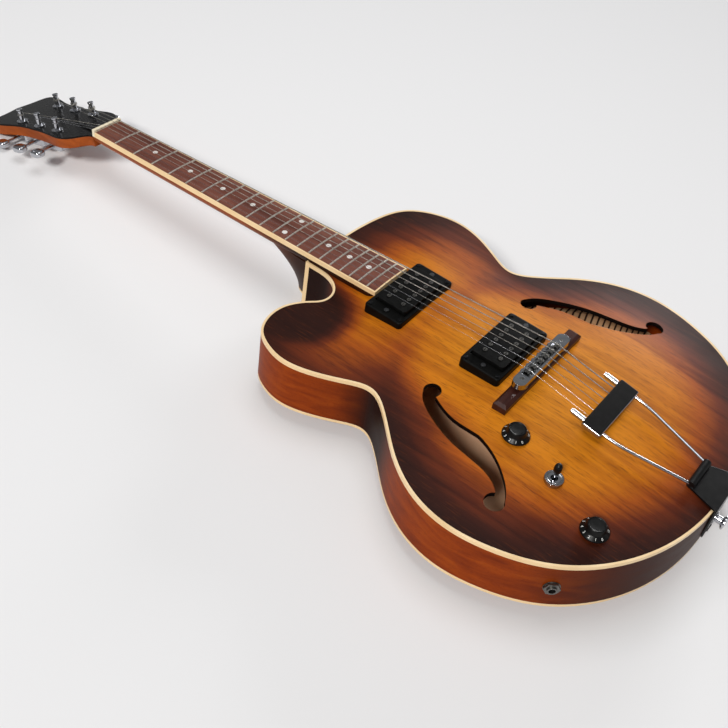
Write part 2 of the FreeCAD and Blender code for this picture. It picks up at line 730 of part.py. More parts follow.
dots = [Part.makeCylinder(s.dot_radius, s.dot_depth + s.overrun,
                          Vector(x, y, -s.dot_depth - board_sag)) for x, y in dot_spots()
        for board_sag in [s.board_radius - math.sqrt(s.board_radius ** 2 - x * x)]]
board_core = board_blank(s.board_binding, -s.board_thickness, s.overrun).common(board_crown)
board_whole = board_blank(0, -s.board_thickness, s.overrun).common(board_crown)
free_form("position_dots", in_neck_frame(Part.makeCompound([dot.common(board_crown) for dot in dots])))
free_form("fingerboard", in_neck_frame(board_core.cut(dots)))
free_form("fingerboard_binding", in_neck_frame(board_whole.cut(
    board_blank(s.board_binding, -s.board_thickness - s.overrun, 2 * s.overrun))))


def fret(number):
    """Half-round wire following the board's crown."""
    run = fret_run(number)
    half = board_half_width(run) - s.board_binding - s.fret_inset
    swing = math.degrees(math.asin(half / s.board_radius))
    left = Vector(0, -run - s.fret_radius, 0)
    right = Vector(0, -run + s.fret_radius, 0)
    crest = Vector(0, -run, s.fret_radius)
    section = Part.Face(Part.Wire([Part.Arc(left, crest, right).toShape(),
                                   Part.LineSegment(right, left).toShape()]))
    centre = Vector(0, 0, -s.board_radius)
    section.rotate(centre, Y_AXIS, -swing)
    return section.revolve(centre, Y_AXIS, 2 * swing)


free_form("frets", in_neck_frame(Part.makeCompound(
    [fret(number) for number in range(1, int(s.fret_count) + 1)])))


# Strings: places along the nut, saddles and posts, thickest first
def string_share(order):
    """From 1 for the thickest string's side to -1 for the thinnest's."""
    return 1 - 2 * order / (string_count - 1)


def string_radius(order):
    return s.string_gauge * string_gauge_shares[order] / 2


def nut_seat(order):
    """Centre of a string where it crosses the nut."""
    return in_neck(string_share(order) * s.nut_spread / 2, s.nut_thickness / 2,
                   s.nut_lift + string_radius(order))


def saddle_seat(order):
    """Centre of a string where it crosses its saddle."""
    back = s.scale_length + s.compensation * saddle_setback_shares[order]
    place = in_neck(0, -back, 0)
    return Vector(string_share(order) * s.bridge_spread / 2, place.y,
                  rim_top + s.string_rise + string_radius(order))


bar_spot = Vector(0, tail + s.bar_y, rim_top + s.bar_rise)
bar_slope = math.degrees(math.atan2(rim_top + s.string_rise - bar_spot.z, bridge_y - bar_spot.y))
bar_frame = Placement(bar_spot, Rotation(X_AXIS, bar_slope))


def in_bar(x, y, z):
    return bar_frame.multVec(Vector(x, y, z))


def anchor(order):
    """Rear end of a string, at the middle of its ball in the cross bar's rear face."""
    return in_bar(string_share(order) * s.bridge_spread / 2, -s.bar_depth / 2 + s.ball_radius, 0)


def arc_edge(start, corner, end):
    """Arc that leaves start towards corner and reaches end from corner."""
    middle = (start + end) / 2
    half = (end - start).Length / 2
    offset = corner - middle
    bend = math.atan2(offset.Length, half)
    crest = middle + offset.normalize() * (half * math.tan(bend / 2))
    return Part.Arc(start, crest, end).toShape()


def biarc(start, leave, end, arrive):
    """Two tangent arcs between two points with given directions."""
    way = end - start
    both = leave + arrive
    a = 2 * (leave.dot(arrive) - 1)
    b = -2 * way.dot(both)
    c = way.dot(way)
    reach = -c / b if abs(a) * c < 1e-9 * b * b else (-b - math.sqrt(b * b - 4 * a * c)) / (2 * a)
    first = start + leave * reach
    second = end - arrive * reach
    middle = (first + second) / 2
    return [arc_edge(start, first, middle), arc_edge(middle, second, end)]


def wrap(order):
    """Turns round the post: incoming point, then helix points with their directions."""
    side, run = list(tuner_spots())[order]
    radius = s.post_radius + s.wrap_clearance + string_radius(order)
    centre = Vector(side * s.post_spread / 2, run, s.wrap_rise)
    step = 2 * string_radius(order) + s.wrap_gap
    arrival = head_frame.inverse().multVec(nut_seat(order))
    flat = Vector(centre.x - arrival.x, centre.y - arrival.y, 0)
    turn = side * math.asin(radius / flat.Length)
    heading = math.atan2(flat.y, flat.x) + turn
    phase = heading + side * math.pi / 2
    sink = step / (2 * math.pi * radius)
    spots = []
    for quarter in range(int(s.wrap_quarters) + 1):
        angle = phase - side * quarter * math.pi / 2
        spot = centre + Vector(radius * math.cos(angle), radius * math.sin(angle), -step * quarter / 4)
        way = Vector(side * math.sin(angle), -side * math.cos(angle), -sink).normalize()
        spots.append((head_frame.multVec(spot), head_frame.Rotation.multVec(way)))
    return spots


def string_path(order):
    """Edges of one string: ball end, saddle, nut, then the turns on its post."""
    turns = wrap(order)
    corners = [anchor(order), saddle_seat(order), nut_seat(order), turns[0][0]]
    edges = []
    here = corners[0]
    for before, corner, after in zip(corners, corners[1:], corners[2:]):
        arriving = (corner - before).normalize()
        leaving = (after - corner).normalize()
        reach = s.string_bend * math.tan(arriving.getAngle(leaving) / 2)
        edges.append(Part.LineSegment(here, corner - arriving * reach).toShape())
        here = corner + leaving * reach
        edges.append(arc_edge(corner - arriving * reach, corner, here))
    edges.append(Part.LineSegment(here, corners[-1]).toShape())
    leaving = (corners[-1] - corners[-2]).normalize()
    for (start, _), (end, arrive) in zip(turns, turns[1:]):
        edges.extend(biarc(start, leaving, end, arrive))
        leaving = arrive
    stub = turns[-1][0] + leaving * 2 * string_radius(order)
    edges.append(Part.LineSegment(turns[-1][0], stub).toShape())
    return edges


def string_solid(order):
    edges = string_path(order)
    path = Part.Wire(edges)
    start = anchor(order)
    way = (saddle_seat(order) - start).normalize()
    ring = Part.Wire(Part.Circle(start, way, string_radius(order)).toShape())
    tube = path.makePipeShell([ring], True, False)
    expected = math.pi * string_radius(order) ** 2 * path.Length
    print(f"string {order + 1}: length {path.Length:.1f}, volume share {tube.Volume / expected:.4f}")
    report_turn_gap(order, edges)
    ball_end = start - X_AXIS * (s.ball_length / 2)
    return tube.fuse(Part.makeCylinder(s.ball_radius, s.ball_length, ball_end, X_AXIS))


def report_turn_gap(order, edges):
    """Least gap between turns on the post, measured on points a full turn apart."""
    per_turn = 8
    samples = 6
    arcs = edges[-2 * int(s.wrap_quarters) - 1:-1]
    points = [arc.valueAt(arc.FirstParameter + (arc.LastParameter - arc.FirstParameter) * k / samples)
              for arc in arcs for k in range(samples)]
    apart = per_turn * samples // 2
    least = min((points[i] - points[j]).Length for i in range(len(points))
                for j in range(i + apart, len(points)))
    print(f"string {order + 1}: least gap between turns {least - 2 * string_radius(order):.2f}")


wound_count = 4
strings = [string_solid(order) for order in range(string_count)]
free_form("wound_strings", Part.makeCompound(strings[:wound_count]))
free_form("plain_strings", Part.makeCompound(strings[wound_count:]))


# Nut with a slot for each string
def nut():
    half = s.nut_width / 2
    blank = block(Vector(-half, 0, -s.board_thickness), Vector(half, s.nut_thickness, s.nut_rise))
    slots = []
    for order in range(string_count):
        x = string_share(order) * s.nut_spread / 2
        reach = string_radius(order) + s.string_seat_gap
        low = Vector(x - reach, -s.overrun, s.nut_lift - s.string_seat_gap)
        slots.append(block(low, Vector(x + reach, s.nut_thickness + s.overrun, s.nut_rise + s.overrun)))
    return blank.cut(slots)


free_form("nut", in_neck_frame(nut()))


# Headstock outline and holes
def head_face(height):
    """Flat headstock shape in its own frame."""
    half = s.head_width / 2
    right = [Vector(s.nut_width / 2, 0, height)]
    right.extend(Vector(x * half, y * s.head_length, height) for x, y in head_edge_shares)
    right.append(Vector(0, s.head_length, height))
    left = [Vector(-point.x, point.y, height) for point in right]
    wire = Part.Wire([spline(right).toShape(), spline(left[::-1]).toShape(),
                      Part.LineSegment(left[0], right[0]).toShape()])
    return Part.Face(wire)


def in_head_frame(shape):
    shape.Placement = head_frame
    return shape


post_holes = [Part.makeCylinder(s.bushing_radius, s.head_thickness + 2 * s.overrun,
                                Vector(side * s.post_spread / 2, run, -s.head_thickness - s.overrun))
              for side, run in tuner_spots()]
truss_pocket = block(
    Vector(-s.truss_nut_radius - s.hole_clearance, -s.overrun, -s.head_thickness / 2),
    Vector(s.truss_nut_radius + s.hole_clearance, s.cover_length * truss_pocket_share, s.overrun))
face = in_head_frame(head_face(-s.face_thickness).extrude(Vector(0, 0, s.face_thickness)).cut(
    post_holes + [truss_pocket]))
free_form("headstock_face", face.cut(cover_holes))


# Truss rod in its channel, with the nut at the headstock end
truss_start = in_neck(0, s.nut_thickness, -s.board_thickness - s.truss_drop)
truss_way = neck_frame.Rotation.multVec(Y_AXIS) * -1
truss_rod = Part.makeCylinder(s.truss_radius, joint_run - s.truss_stop, truss_start, truss_way)
truss_nut = Part.makeCylinder(s.truss_nut_radius, s.truss_nut_length, truss_start, truss_way * -1)
free_form("truss_rod", truss_rod.fuse(truss_nut).removeSplitter())


# Neck: shaft, heel, tongue, tenon and headstock in one piece of wood
def neck_section(run, depth):
    """Flat-topped half-oval section square to the neck."""
    half = board_half_width(run)
    top = -s.board_thickness
    left = Vector(-half, -run, top)
    right = Vector(half, -run, top)
    points = []
    for step in range(13):
        angle = math.pi * step / 12
        points.append(Vector(-half * math.cos(angle), -run, top - depth * math.sin(angle)))
    return Part.Wire([spline(points).toShape(), Part.LineSegment(right, left).toShape()])


def heel_section(depth_share, width_share, reach_share):
    top = in_neck(0, -joint_run, -s.board_thickness - s.neck_depth_joint / 2).z
    bottom = rim_bottom + s.heel_cap_wall
    height = top + (bottom - top) * depth_share
    half = (s.heel_bottom_width + (s.heel_top_width - s.heel_bottom_width) * width_share) / 2
    reach = s.heel_bottom_reach + (s.heel_top_reach - s.heel_bottom_reach) * reach_share
    points = []
    for step in range(13):
        angle = math.pi * step / 12
        points.append(Vector(half * math.cos(angle), joint_y + reach * math.sin(angle), height))
    return Part.Wire([spline(points).toShape(), Part.LineSegment(points[-1], points[0]).toShape()])


def tongue():
    """Wood between the top and the overhanging fingerboard, with rounded corners."""
    wide = board_half_width(board_length) - s.tongue_inset
    end = board_length - s.tongue_setback
    low = -s.board_thickness - s.top_arch - s.board_rise
    near = board_half_width(joint_run) - s.tongue_inset
    corners = [Vector(-near, -joint_run, low), Vector(near, -joint_run, low), Vector(wide, -end, low),
               Vector(-wide, -end, low)]
    blank = Part.Face(Part.makePolygon(corners + corners[:1])).extrude(Vector(0, 0, -s.board_thickness - low))
    tail_edges = [edge for edge in blank.Edges if abs(edge.Vertexes[0].Y + end) < s.overrun
                  and abs(edge.tangentAt(edge.FirstParameter).z) > 0.9]
    blank = blank.makeFillet(s.tongue_corner, tail_edges)
    return in_neck_frame(blank).cut(under_top)


def neck():
    shaft = Part.makeLoft([neck_section(-s.nut_thickness, s.neck_depth_nut),
                           neck_section(joint_run, s.neck_depth_joint)], True, True)
    in_neck_frame(shaft)
    reach = s.scale_length
    front = block(Vector(-reach, joint_y, -reach), Vector(reach, joint_y + 2 * reach, reach))
    shaft = shaft.common(front)
    heel = Part.makeLoft([heel_section(*shares) for shares in heel_section_shares], True, False)
    core = in_head_frame(head_face(-s.head_thickness).extrude(
        Vector(0, 0, s.head_thickness - s.face_thickness)).cut(post_holes + [truss_pocket]))
    whole = shaft.fuse([heel, core, tongue(), tenon])
    heel_screw = Part.makeCylinder(s.strap_screw_radius, s.strap_screw_length, heel_button_spot, X_AXIS * -1)
    heel_seat = Part.makeCylinder(s.strap_base_radius, s.overrun, heel_button_spot, X_AXIS)
    tools = [truss_rod, truss_nut, heel_screw, heel_seat, face] + cover_holes + tuner_screws
    return whole.cut(tools).removeSplitter()


free_form("neck", neck())
heel_cap = Part.Face(heel_section(1.0, 0.0, 0.0)).extrude(Vector(0, 0, -s.heel_cap_wall))
free_form("heel_cap", heel_cap)

# Truss rod cover on the headstock face
cover = padded("truss_rod_cover", head_frame.multiply(at(0, s.cover_gap, 0)), [
    ("-Sizes.cover_width / 2", "0"), ("Sizes.cover_width / 2", "0"),
    ("Sizes.cover_tip / 2", "Sizes.cover_length"), ("-Sizes.cover_tip / 2", "Sizes.cover_length")],
    "Sizes.cover_wall")
doc.recompute()
free_form("truss_rod_cover", cover.Shape.cut(cover_holes))


# Tuners: bushing and post turned about the post axis, housing behind, worm shaft with its button
bushing_corners = [
    ("Sizes.post_radius + Sizes.running_fit", "-Sizes.head_thickness"),
    ("Sizes.bushing_radius", "-Sizes.head_thickness"), ("Sizes.bushing_radius", "0"),
    ("Sizes.washer_radius", "0"), ("Sizes.washer_radius", "Sizes.washer_height"),
    ("Sizes.post_radius + Sizes.running_fit", "Sizes.washer_height")]
gear_low = "-Sizes.head_thickness - Sizes.housing_height / 2 - Sizes.gear_height / 2"
gear_high = "-Sizes.head_thickness - Sizes.housing_height / 2 + Sizes.gear_height / 2"
post_corners = [
    ("0", gear_low), ("Sizes.gear_radius", gear_low), ("Sizes.gear_radius", gear_high),
    ("Sizes.post_radius", gear_high), ("Sizes.post_radius", "Sizes.post_rise - Sizes.post_cap_height"),
    ("Sizes.post_cap_radius", "Sizes.post_rise - Sizes.post_cap_height / 2"),
    ("Sizes.post_cap_radius", "Sizes.post_rise"), ("0", "Sizes.post_rise")]
worm_offset = s.gear_radius + s.worm_radius + s.mesh_gap
worm_level = -s.head_thickness - s.housing_height / 2


def housing(side, run):
    """Closed gear case on the back of the headstock."""
    x = side * s.post_spread / 2
    low = Vector(x - s.housing_width / 2, run - s.housing_length / 2 + s.housing_shift,
                 -s.head_thickness - s.housing_height)
    high = low + Vector(s.housing_width, s.housing_length, s.housing_height)
    case = block(low, high)
    upright = [edge for edge in case.Edges if abs(edge.tangentAt(edge.FirstParameter).z) > 0.9]
    case = case.makeFillet(s.housing_corner, upright)
    wall = Vector(s.housing_wall, s.housing_wall, s.housing_wall)
    inside = block(low + wall, high - wall)
    boss = Part.makeCylinder(s.screw_head_radius, s.housing_height, Vector(
        x + side * s.housing_width / 3, low.y + 2 * s.housing_wall, low.z))
    post_room = Part.makeCylinder(s.post_radius + s.running_fit, s.housing_height, Vector(x, run, worm_level))
    worm_room = Part.makeCylinder(s.worm_radius + s.running_fit, s.housing_width,
                                  Vector(x, run + worm_offset, worm_level), X_AXIS * side)
    return in_head_frame(case.cut(inside.cut(boss)).cut([post_room, worm_room])).cut(tuner_screws)


def tuner_button(side, run):
    """Worm shaft with a rounded flat grip on its outer end."""
    middle = Vector(side * (s.post_spread / 2 + s.button_reach), run + worm_offset, worm_level)
    half = Vector(s.button_width / 2, s.button_length / 2, s.button_thickness / 2)
    grip = block(middle - half, middle + half)
    upright = [edge for edge in grip.Edges if abs(edge.tangentAt(edge.FirstParameter).z) > 0.9]
    corner = min(s.button_corner, grip_round_share * half.x, grip_round_share * half.y)
    grip = grip.makeFillet(corner, upright)
    rims = [edge for edge in grip.Edges if abs(edge.Vertexes[0].Z - edge.Vertexes[-1].Z) < half.z]
    grip = grip.makeFillet(min(s.button_round, grip_round_share * half.z), rims)
    start = Vector(side * (s.post_spread / 2 - s.worm_start), middle.y, middle.z)
    return in_head_frame(grip.fuse(rod_between(start, middle, s.worm_radius)).removeSplitter())


free_form("tuner_housings", Part.makeCompound([housing(side, run) for side, run in tuner_spots()]))
bushings = [turned(f"bushing_{order + 1}", head_frame.multiply(at(side * s.post_spread / 2, run, 0)),
                   bushing_corners) for order, (side, run) in enumerate(tuner_spots())]
grouped("tuner_bushings", bushings)
for order, (side, run) in enumerate(tuner_spots()):
    number = order + 1
    spot = Vector(side * s.post_spread / 2, run, 0)
    stem = turned(f"post_stem_{number}", head_frame.multiply(Placement(spot, Rotation())), post_corners)
    eye_place = head_frame.multiply(Placement(spot + Vector(-s.post_cap_radius, 0, s.post_hole_rise),
                                              Rotation(Y_AXIS, quarter_turn)))
    eye = bound("Part::Cylinder", f"post_eye_{number}", eye_place,
                Radius="Sizes.post_hole_radius", Height="2 * Sizes.post_cap_radius")
    keep(f"tuner_post_{number}", cut(f"tuner_post_{number}", stem, eye))
    free_form(f"tuner_button_{number}", tuner_button(side, run))


# Pickups: ring seated on the arch, coil cover in its window, pole screws, height screws
def pickup_ring(y, height):
    half = Vector(s.ring_length / 2, s.ring_width / 2, 0)
    ring = block(Vector(-half.x, y - half.y, rim_top), Vector(half.x, y + half.y, height))
    upright = [edge for edge in ring.Edges if abs(edge.tangentAt(edge.FirstParameter).z) > 0.9]
    ring = ring.makeFillet(s.ring_corner, upright)
    brim = [edge for edge in ring.Edges if min(v.Z for v in edge.Vertexes) > height - s.ring_round]
    ring = ring.makeFillet(s.ring_round, brim)
    tools = [coil_window(y, s.coil_clearance, rim_top - s.overrun, height + s.overrun)]
    for side in (-1, 1):
        tools.append(Part.makeCylinder(s.height_screw_radius, 2 * s.rim_depth,
                                       Vector(side * s.height_screw_x, y, rim_bottom)))
    return ring.cut(under_top).cut(tools + ring_holes)


def pole_spots(y):
    for row in (-1, 1):
        for order in range(string_count):
            yield Vector(string_share(order) * s.pole_spread / 2, y + row * s.pole_row / 2, 0)


def coil_cover(y, height):
    """Closed black cover over the two coils, drilled for the pole screws."""
    top = height + s.coil_rise
    cover_block = coil_window(y, 0, top - s.coil_depth, top)
    upright = [edge for edge in cover_block.Edges if abs(edge.tangentAt(edge.FirstParameter).z) > 0.9]
    cover_block = cover_block.makeFillet(s.coil_corner, upright)
    ears = []
    for side in (-1, 1):
        reach = side * (s.height_screw_x + 2 * s.height_screw_radius)
        ear_low = top - s.coil_depth
        ear = block(Vector(min(0, reach), y - s.coil_width / 6, ear_low),
                    Vector(max(0, reach), y + s.coil_width / 6, ear_low + s.cover_wall))
        ears.append(ear)
    floor = Vector(0, 0, top - s.pole_depth)
    holes = [Part.makeCylinder(s.pole_radius, s.pole_depth + s.overrun, spot + floor)
             for spot in pole_spots(y)]
    for side in (-1, 1):
        holes.append(Part.makeCylinder(s.height_screw_radius, 2 * s.rim_depth,
                                       Vector(side * s.height_screw_x, y, rim_bottom)))
    return cover_block.fuse(ears).cut(holes).removeSplitter()


free_form("pickup_rings", Part.makeCompound([pickup_ring(y, height) for y, height in ring_places]))
free_form("pickup_covers", Part.makeCompound([coil_cover(y, height) for y, height in ring_places]))
poles = []
height_screws = []
for y, height in ring_places:
    top = height + s.coil_rise
    for spot in pole_spots(y):
        poles.append(bound("Part::Cylinder", "pole", at(spot.x, spot.y, top - s.pole_depth),
                           Radius="Sizes.pole_radius", Height="Sizes.pole_depth + Sizes.pole_rise"))
    for side in (-1, 1):
        height_screws.append(turned("height_screw", at(side * s.height_screw_x, y, height), [
            ("0", "-Sizes.height_screw_length"), ("Sizes.height_screw_radius", "-Sizes.height_screw_length"),
            ("Sizes.height_screw_radius", "0"), ("Sizes.height_screw_head", "0"),
            ("Sizes.height_screw_head", "Sizes.height_screw_head_height"),
            ("0", "Sizes.height_screw_head_height")]))
grouped("pole_screws", poles)

# Bridge: wooden base on the arch, studs, thumbwheels, metal body, saddles and their screws
base_top = rim_top + s.top_arch + s.base_height
wheel_level = base_top + s.seat_gap
body_level = wheel_level + s.wheel_height + s.seat_gap


def bridge_base():
    half = Vector(s.base_length / 2, s.base_width / 2, 0)
    wood = block(Vector(-half.x, bridge_y - half.y, rim_top), Vector(half.x, bridge_y + half.y, base_top))
    brim = [edge for edge in wood.Edges if min(v.Z for v in edge.Vertexes) > base_top - s.seat_gap]
    wood = wood.makeChamfer(s.base_chamfer, brim)
    holes = [Part.makeCylinder(s.stud_radius, s.base_height, Vector(
        side * s.stud_spread / 2, bridge_y, base_top - s.stud_depth)) for side in (-1, 1)]
    return wood.cut(under_top).cut(holes)


free_form("bridge_base", bridge_base())
stud_height = "Sizes.stud_depth + 2 * Sizes.seat_gap + Sizes.wheel_height + Sizes.bridge_height"
stud_places = [at(side * s.stud_spread / 2, bridge_y, base_top - s.stud_depth) for side in (-1, 1)]
grouped("bridge_studs", [bound("Part::Cylinder", "bridge_stud", place, Radius="Sizes.stud_radius",
                               Height=stud_height) for place in stud_places])
wheel_bore = "Sizes.stud_radius + Sizes.running_fit"
wheel_corners = [(wheel_bore, "0"), ("Sizes.wheel_radius", "0"), ("Sizes.wheel_radius", "Sizes.wheel_height"),
                 (wheel_bore, "Sizes.wheel_height")]
for side, name in ((-1, "thumbwheel_treble"), (1, "thumbwheel_bass")):
    keep(name, turned(name, at(side * s.stud_spread / 2, bridge_y, wheel_level), wheel_corners))


def saddle(order):
    """Small metal block in the bridge's channel with a rounded crest under its string."""
    seat = saddle_seat(order)
    crest = seat.z - string_radius(order) - s.string_seat_gap
    half = s.saddle_width / 2
    floor = body_level + s.channel_floor
    low = Vector(seat.x - half, seat.y - s.saddle_length / 2, floor)
    high = Vector(seat.x + half, seat.y + s.saddle_length / 2, crest - s.saddle_crest)
    foot = block(low, high)
    ridge = Part.makeCylinder(s.saddle_crest, s.saddle_width,
                              Vector(low.x, seat.y, crest - s.saddle_crest), X_AXIS)
    return foot.fuse(ridge).removeSplitter().cut(saddle_screw_shape(order))


def saddle_screw_shape(order):
    """Screw that runs from the bridge's front wall into its saddle."""
    seat = saddle_seat(order)
    level = body_level + s.channel_floor + 2 * s.saddle_screw_radius
    start = Vector(seat.x, seat.y, level)
    front = Vector(seat.x, bridge_y + s.bridge_width / 2, level)
    shank = Part.makeCylinder(s.saddle_screw_radius, front.y - seat.y, start, Y_AXIS)
    head = Part.makeCylinder(s.saddle_screw_head, s.saddle_screw_head_length, front, Y_AXIS)
    return shank.fuse(head).removeSplitter()


def bridge_body():
    """Long metal bar with rounded ends and an open channel for the saddles."""
    half = s.bridge_width / 2
    reach = s.bridge_length / 2 - half
    top = body_level + s.bridge_height
    bar = block(Vector(-reach, bridge_y - half, body_level), Vector(reach, bridge_y + half, top))
    for side in (-1, 1):
        bar = bar.fuse(Part.makeCylinder(half, s.bridge_height, Vector(side * reach, bridge_y, body_level)))
    room = Vector(s.channel_length / 2, s.channel_width / 2, 0)
    channel = block(Vector(-room.x, bridge_y - room.y, body_level + s.channel_floor),
                    Vector(room.x, bridge_y + room.y, top + s.overrun))
    holes = [Part.makeCylinder(s.stud_radius, 2 * s.bridge_height, Vector(
        side * s.stud_spread / 2, bridge_y, body_level - s.bridge_height / 2)) for side in (-1, 1)]
    screws = [saddle_screw_shape(order) for order in range(string_count)]
    return bar.removeSplitter().cut([channel] + holes + screws)


free_form("bridge_body", bridge_body())
free_form("bridge_saddles", Part.makeCompound([saddle(order) for order in range(string_count)]))
saddle_screws = doc.addObject("Part::Feature", "saddle_screws")
saddle_screws.Shape = Part.makeCompound([saddle_screw_shape(order) for order in range(string_count)])
grouped("adjusting_screws", height_screws + [saddle_screws])

# Tailpiece: cross bar, two rods with a bend each, and a bent bracket over the tail
bracket_top = rim_top + s.bracket_lift + s.bracket_wall
barrel_spot = Vector(0, tail + s.bracket_length, bracket_top - s.bracket_wall + s.barrel_radius)


def rod_path(side):
    """Rod centre line from its front end, through the bar, to the barrel on the bracket."""
    front = in_bar(side * s.rod_spread / 2, s.bar_depth / 2 + s.rod_front, 0)
    bend = in_bar(side * s.rod_spread / 2, -s.bar_depth / 2 - s.rod_bend_run, 0)
    end = Vector(side * s.rod_tail_spread / 2, barrel_spot.y, barrel_spot.z)
    return front, bend, end


def rod(side):
    front, bend, end = rod_path(side)
    arriving = (bend - front).normalize()
    leaving = (end - bend).normalize()
    reach = rod_bend_share * s.rod_bend_run
    start_arc = bend - arriving * reach
    end_arc = bend + leaving * reach
    path = Part.Wire([Part.LineSegment(front, start_arc).toShape(), arc_edge(start_arc, bend, end_arc),
                      Part.LineSegment(end_arc, end).toShape()])
    tube = path.makePipeShell([Part.Wire(Part.Circle(front, arriving, s.rod_radius).toShape())], True, False)
    sleeve = Part.makeCylinder(s.rod_nut_radius, s.rod_front - s.seat_gap, front, arriving)
    tip = Part.makeCylinder(s.rod_tip_radius, s.rod_tip_length, front, arriving * -1)
    return tube.fuse([sleeve, tip]).removeSplitter()


rods = [rod(side) for side in (-1, 1)]
free_form("tailpiece_rods", Part.makeCompound(rods))


def tailpiece_bar():
    """Rounded bar drilled for the strings, with a pocket in its rear face for each ball."""
    half = Vector(s.bar_length / 2, s.bar_depth / 2, s.bar_thickness / 2)
    bar = block(half * -1, half)
    bar = bar.makeFillet(s.bar_round, bar.Edges)
    tools = []
    room = Vector(s.ball_length / 2 + s.seat_gap, 2 * s.ball_radius + s.seat_gap, s.ball_radius + s.seat_gap)
    for order in range(string_count):
        x = string_share(order) * s.bridge_spread / 2
        tools.append(rod_between(Vector(x, -s.bar_depth, 0), Vector(x, s.bar_depth, 0), s.bar_hole_radius))
        tools.append(block(Vector(x - room.x, -half.y - s.overrun, -room.z),
                           Vector(x + room.x, room.y - half.y, room.z)))
    bar = bar.cut(tools)
    bar.Placement = bar_frame
    return bar.cut(rods)


def tailpiece_bracket():
    """Tapered plate over the tail, turned down the end of the sides, with a barrel for the rods."""
    low = rim_top + s.bracket_lift
    front = s.bracket_front_width / 2
    back = s.bracket_tail_width / 2
    reach = tail + s.bracket_length
    corners = [Vector(-back, 0, low), Vector(back, 0, low), Vector(front, reach, low),
               Vector(-front, reach, low)]
    plate = Part.Face(Part.makePolygon(corners + corners[:1])).extrude(Vector(0, 0, s.bracket_wall))
    foot = s.bracket_foot_width / 2
    bottom = rim_top - s.bracket_drop
    corners = [Vector(-back, 0, bracket_top), Vector(back, 0, bracket_top), Vector(foot, 0, bottom),
               Vector(-foot, 0, bottom)]
    drop = Part.Face(Part.makePolygon(corners + corners[:1])).extrude(Vector(0, s.bracket_wall, 0))
    barrel = Part.makeCylinder(s.barrel_radius, s.bracket_front_width, barrel_spot - X_AXIS * front, X_AXIS)
    return plate.fuse([drop, barrel]).removeSplitter().cut(rods + bracket_holes + [strap_hole])


free_form("tailpiece_bar", tailpiece_bar())
free_form("tailpiece_bracket", tailpiece_bracket())

# Strap buttons with their screws, one on the tail bracket and one on the heel
strap_corners = [
    ("0", "-Sizes.strap_screw_length"), ("Sizes.strap_screw_radius", "-Sizes.strap_screw_length"),
    ("Sizes.strap_screw_radius", "0"), ("Sizes.strap_base_radius", "0"),
    ("Sizes.strap_base_radius", "Sizes.strap_base / 2"), ("Sizes.strap_waist_radius", "Sizes.strap_base"),
    ("Sizes.strap_waist_radius", "Sizes.strap_waist"),
    ("Sizes.strap_head_radius", "Sizes.strap_waist + Sizes.strap_base"),
    ("Sizes.strap_head_radius", "Sizes.strap_height - Sizes.strap_base / 2"),
    ("Sizes.strap_waist_radius", "Sizes.strap_height"), ("0", "Sizes.strap_height")]
grouped("strap_buttons", [turned("tail_button", along(Vector(0, 0, 0), Y_AXIS * -1), strap_corners),
                          turned("heel_button", along(heel_button_spot, X_AXIS), strap_corners)])


# Controls: pots below the top, shafts and knobs above it
knob_corners = [
    ("Sizes.shaft_radius", "Sizes.knob_cavity"), ("Sizes.knob_cavity_radius", "Sizes.knob_cavity"),
    ("Sizes.knob_cavity_radius", "0"), ("Sizes.knob_radius", "0"),
    ("Sizes.knob_radius", "Sizes.knob_skirt / 2"),
    ("Sizes.knob_top_radius + Sizes.knob_skirt / 2", "Sizes.knob_skirt"),
    ("Sizes.knob_top_radius", "Sizes.knob_height - Sizes.knob_gap"),
    ("Sizes.knob_top_radius - Sizes.knob_gap", "Sizes.knob_height"), ("0", "Sizes.knob_height"),
    ("0", "Sizes.knob_height - Sizes.knob_skirt"),
    ("Sizes.shaft_radius", "Sizes.knob_height - Sizes.knob_skirt")]


def highest_under(spot, radius):
    """Highest point of the top under a round piece."""
    steps = 12
    ring = [top_height(spot.x + radius * math.cos(2 * math.pi * k / steps),
                       spot.y + radius * math.sin(2 * math.pi * k / steps)) for k in range(steps)]
    return max(ring + [top_height(spot.x, spot.y)])


def seated_nut(spot, radius, top):
    """Round nut whose underside follows the arched top."""
    return Part.makeCylinder(radius, top - rim_top, Vector(spot.x, spot.y, rim_top)).cut(under_top)


def control(name, spot):
    """Knob, shaft and potentiometer on one upright axis."""
    knob_base = highest_under(spot, s.knob_radius) + s.knob_gap
    nut_base = highest_under(spot, s.pot_nut_radius)
    keep(f"{name}_knob", turned(f"{name}_knob", at(spot.x, spot.y, knob_base), knob_corners))
    shaft_top = knob_base + s.knob_height - s.knob_skirt
    shaft_place = at(spot.x, spot.y, shaft_top - s.shaft_length)
    keep(f"{name}_shaft", bound("Part::Cylinder", f"{name}_shaft", shaft_place,
                                Radius="Sizes.shaft_radius", Height="Sizes.shaft_length"))
    lowest = 2 * top_height(spot.x, spot.y) - highest_under(spot, s.pot_radius)
    pot_top = lowest - s.plate_wall - s.seat_gap
    shoulder = Vector(spot.x, spot.y, pot_top)
    body = Part.makeCylinder(s.pot_radius, s.pot_height, shoulder, Z_AXIS * -1)
    bushing = Part.makeCylinder(s.pot_bushing_radius, nut_base + s.pot_nut_height - pot_top, shoulder)
    collar = seated_nut(spot, s.pot_nut_radius, nut_base + s.pot_nut_height)
    room = Part.makeCylinder(s.shaft_radius + s.running_fit, s.rim_depth,
                             Vector(spot.x, spot.y, shaft_top - s.shaft_length - s.seat_gap))
    return body.fuse([bushing, collar]).removeSplitter().cut(room)


free_form("potentiometers", Part.makeCompound([control("volume", volume_spot), control("tone", tone_spot)]))

# Toggle switch: body below, threaded bushing and nut through the top, lever with its pin and tip
toggle_level = highest_under(toggle_spot, s.toggle_nut_radius)
toggle_pivot = Vector(toggle_spot.x, toggle_spot.y, toggle_level - s.toggle_pivot_drop)


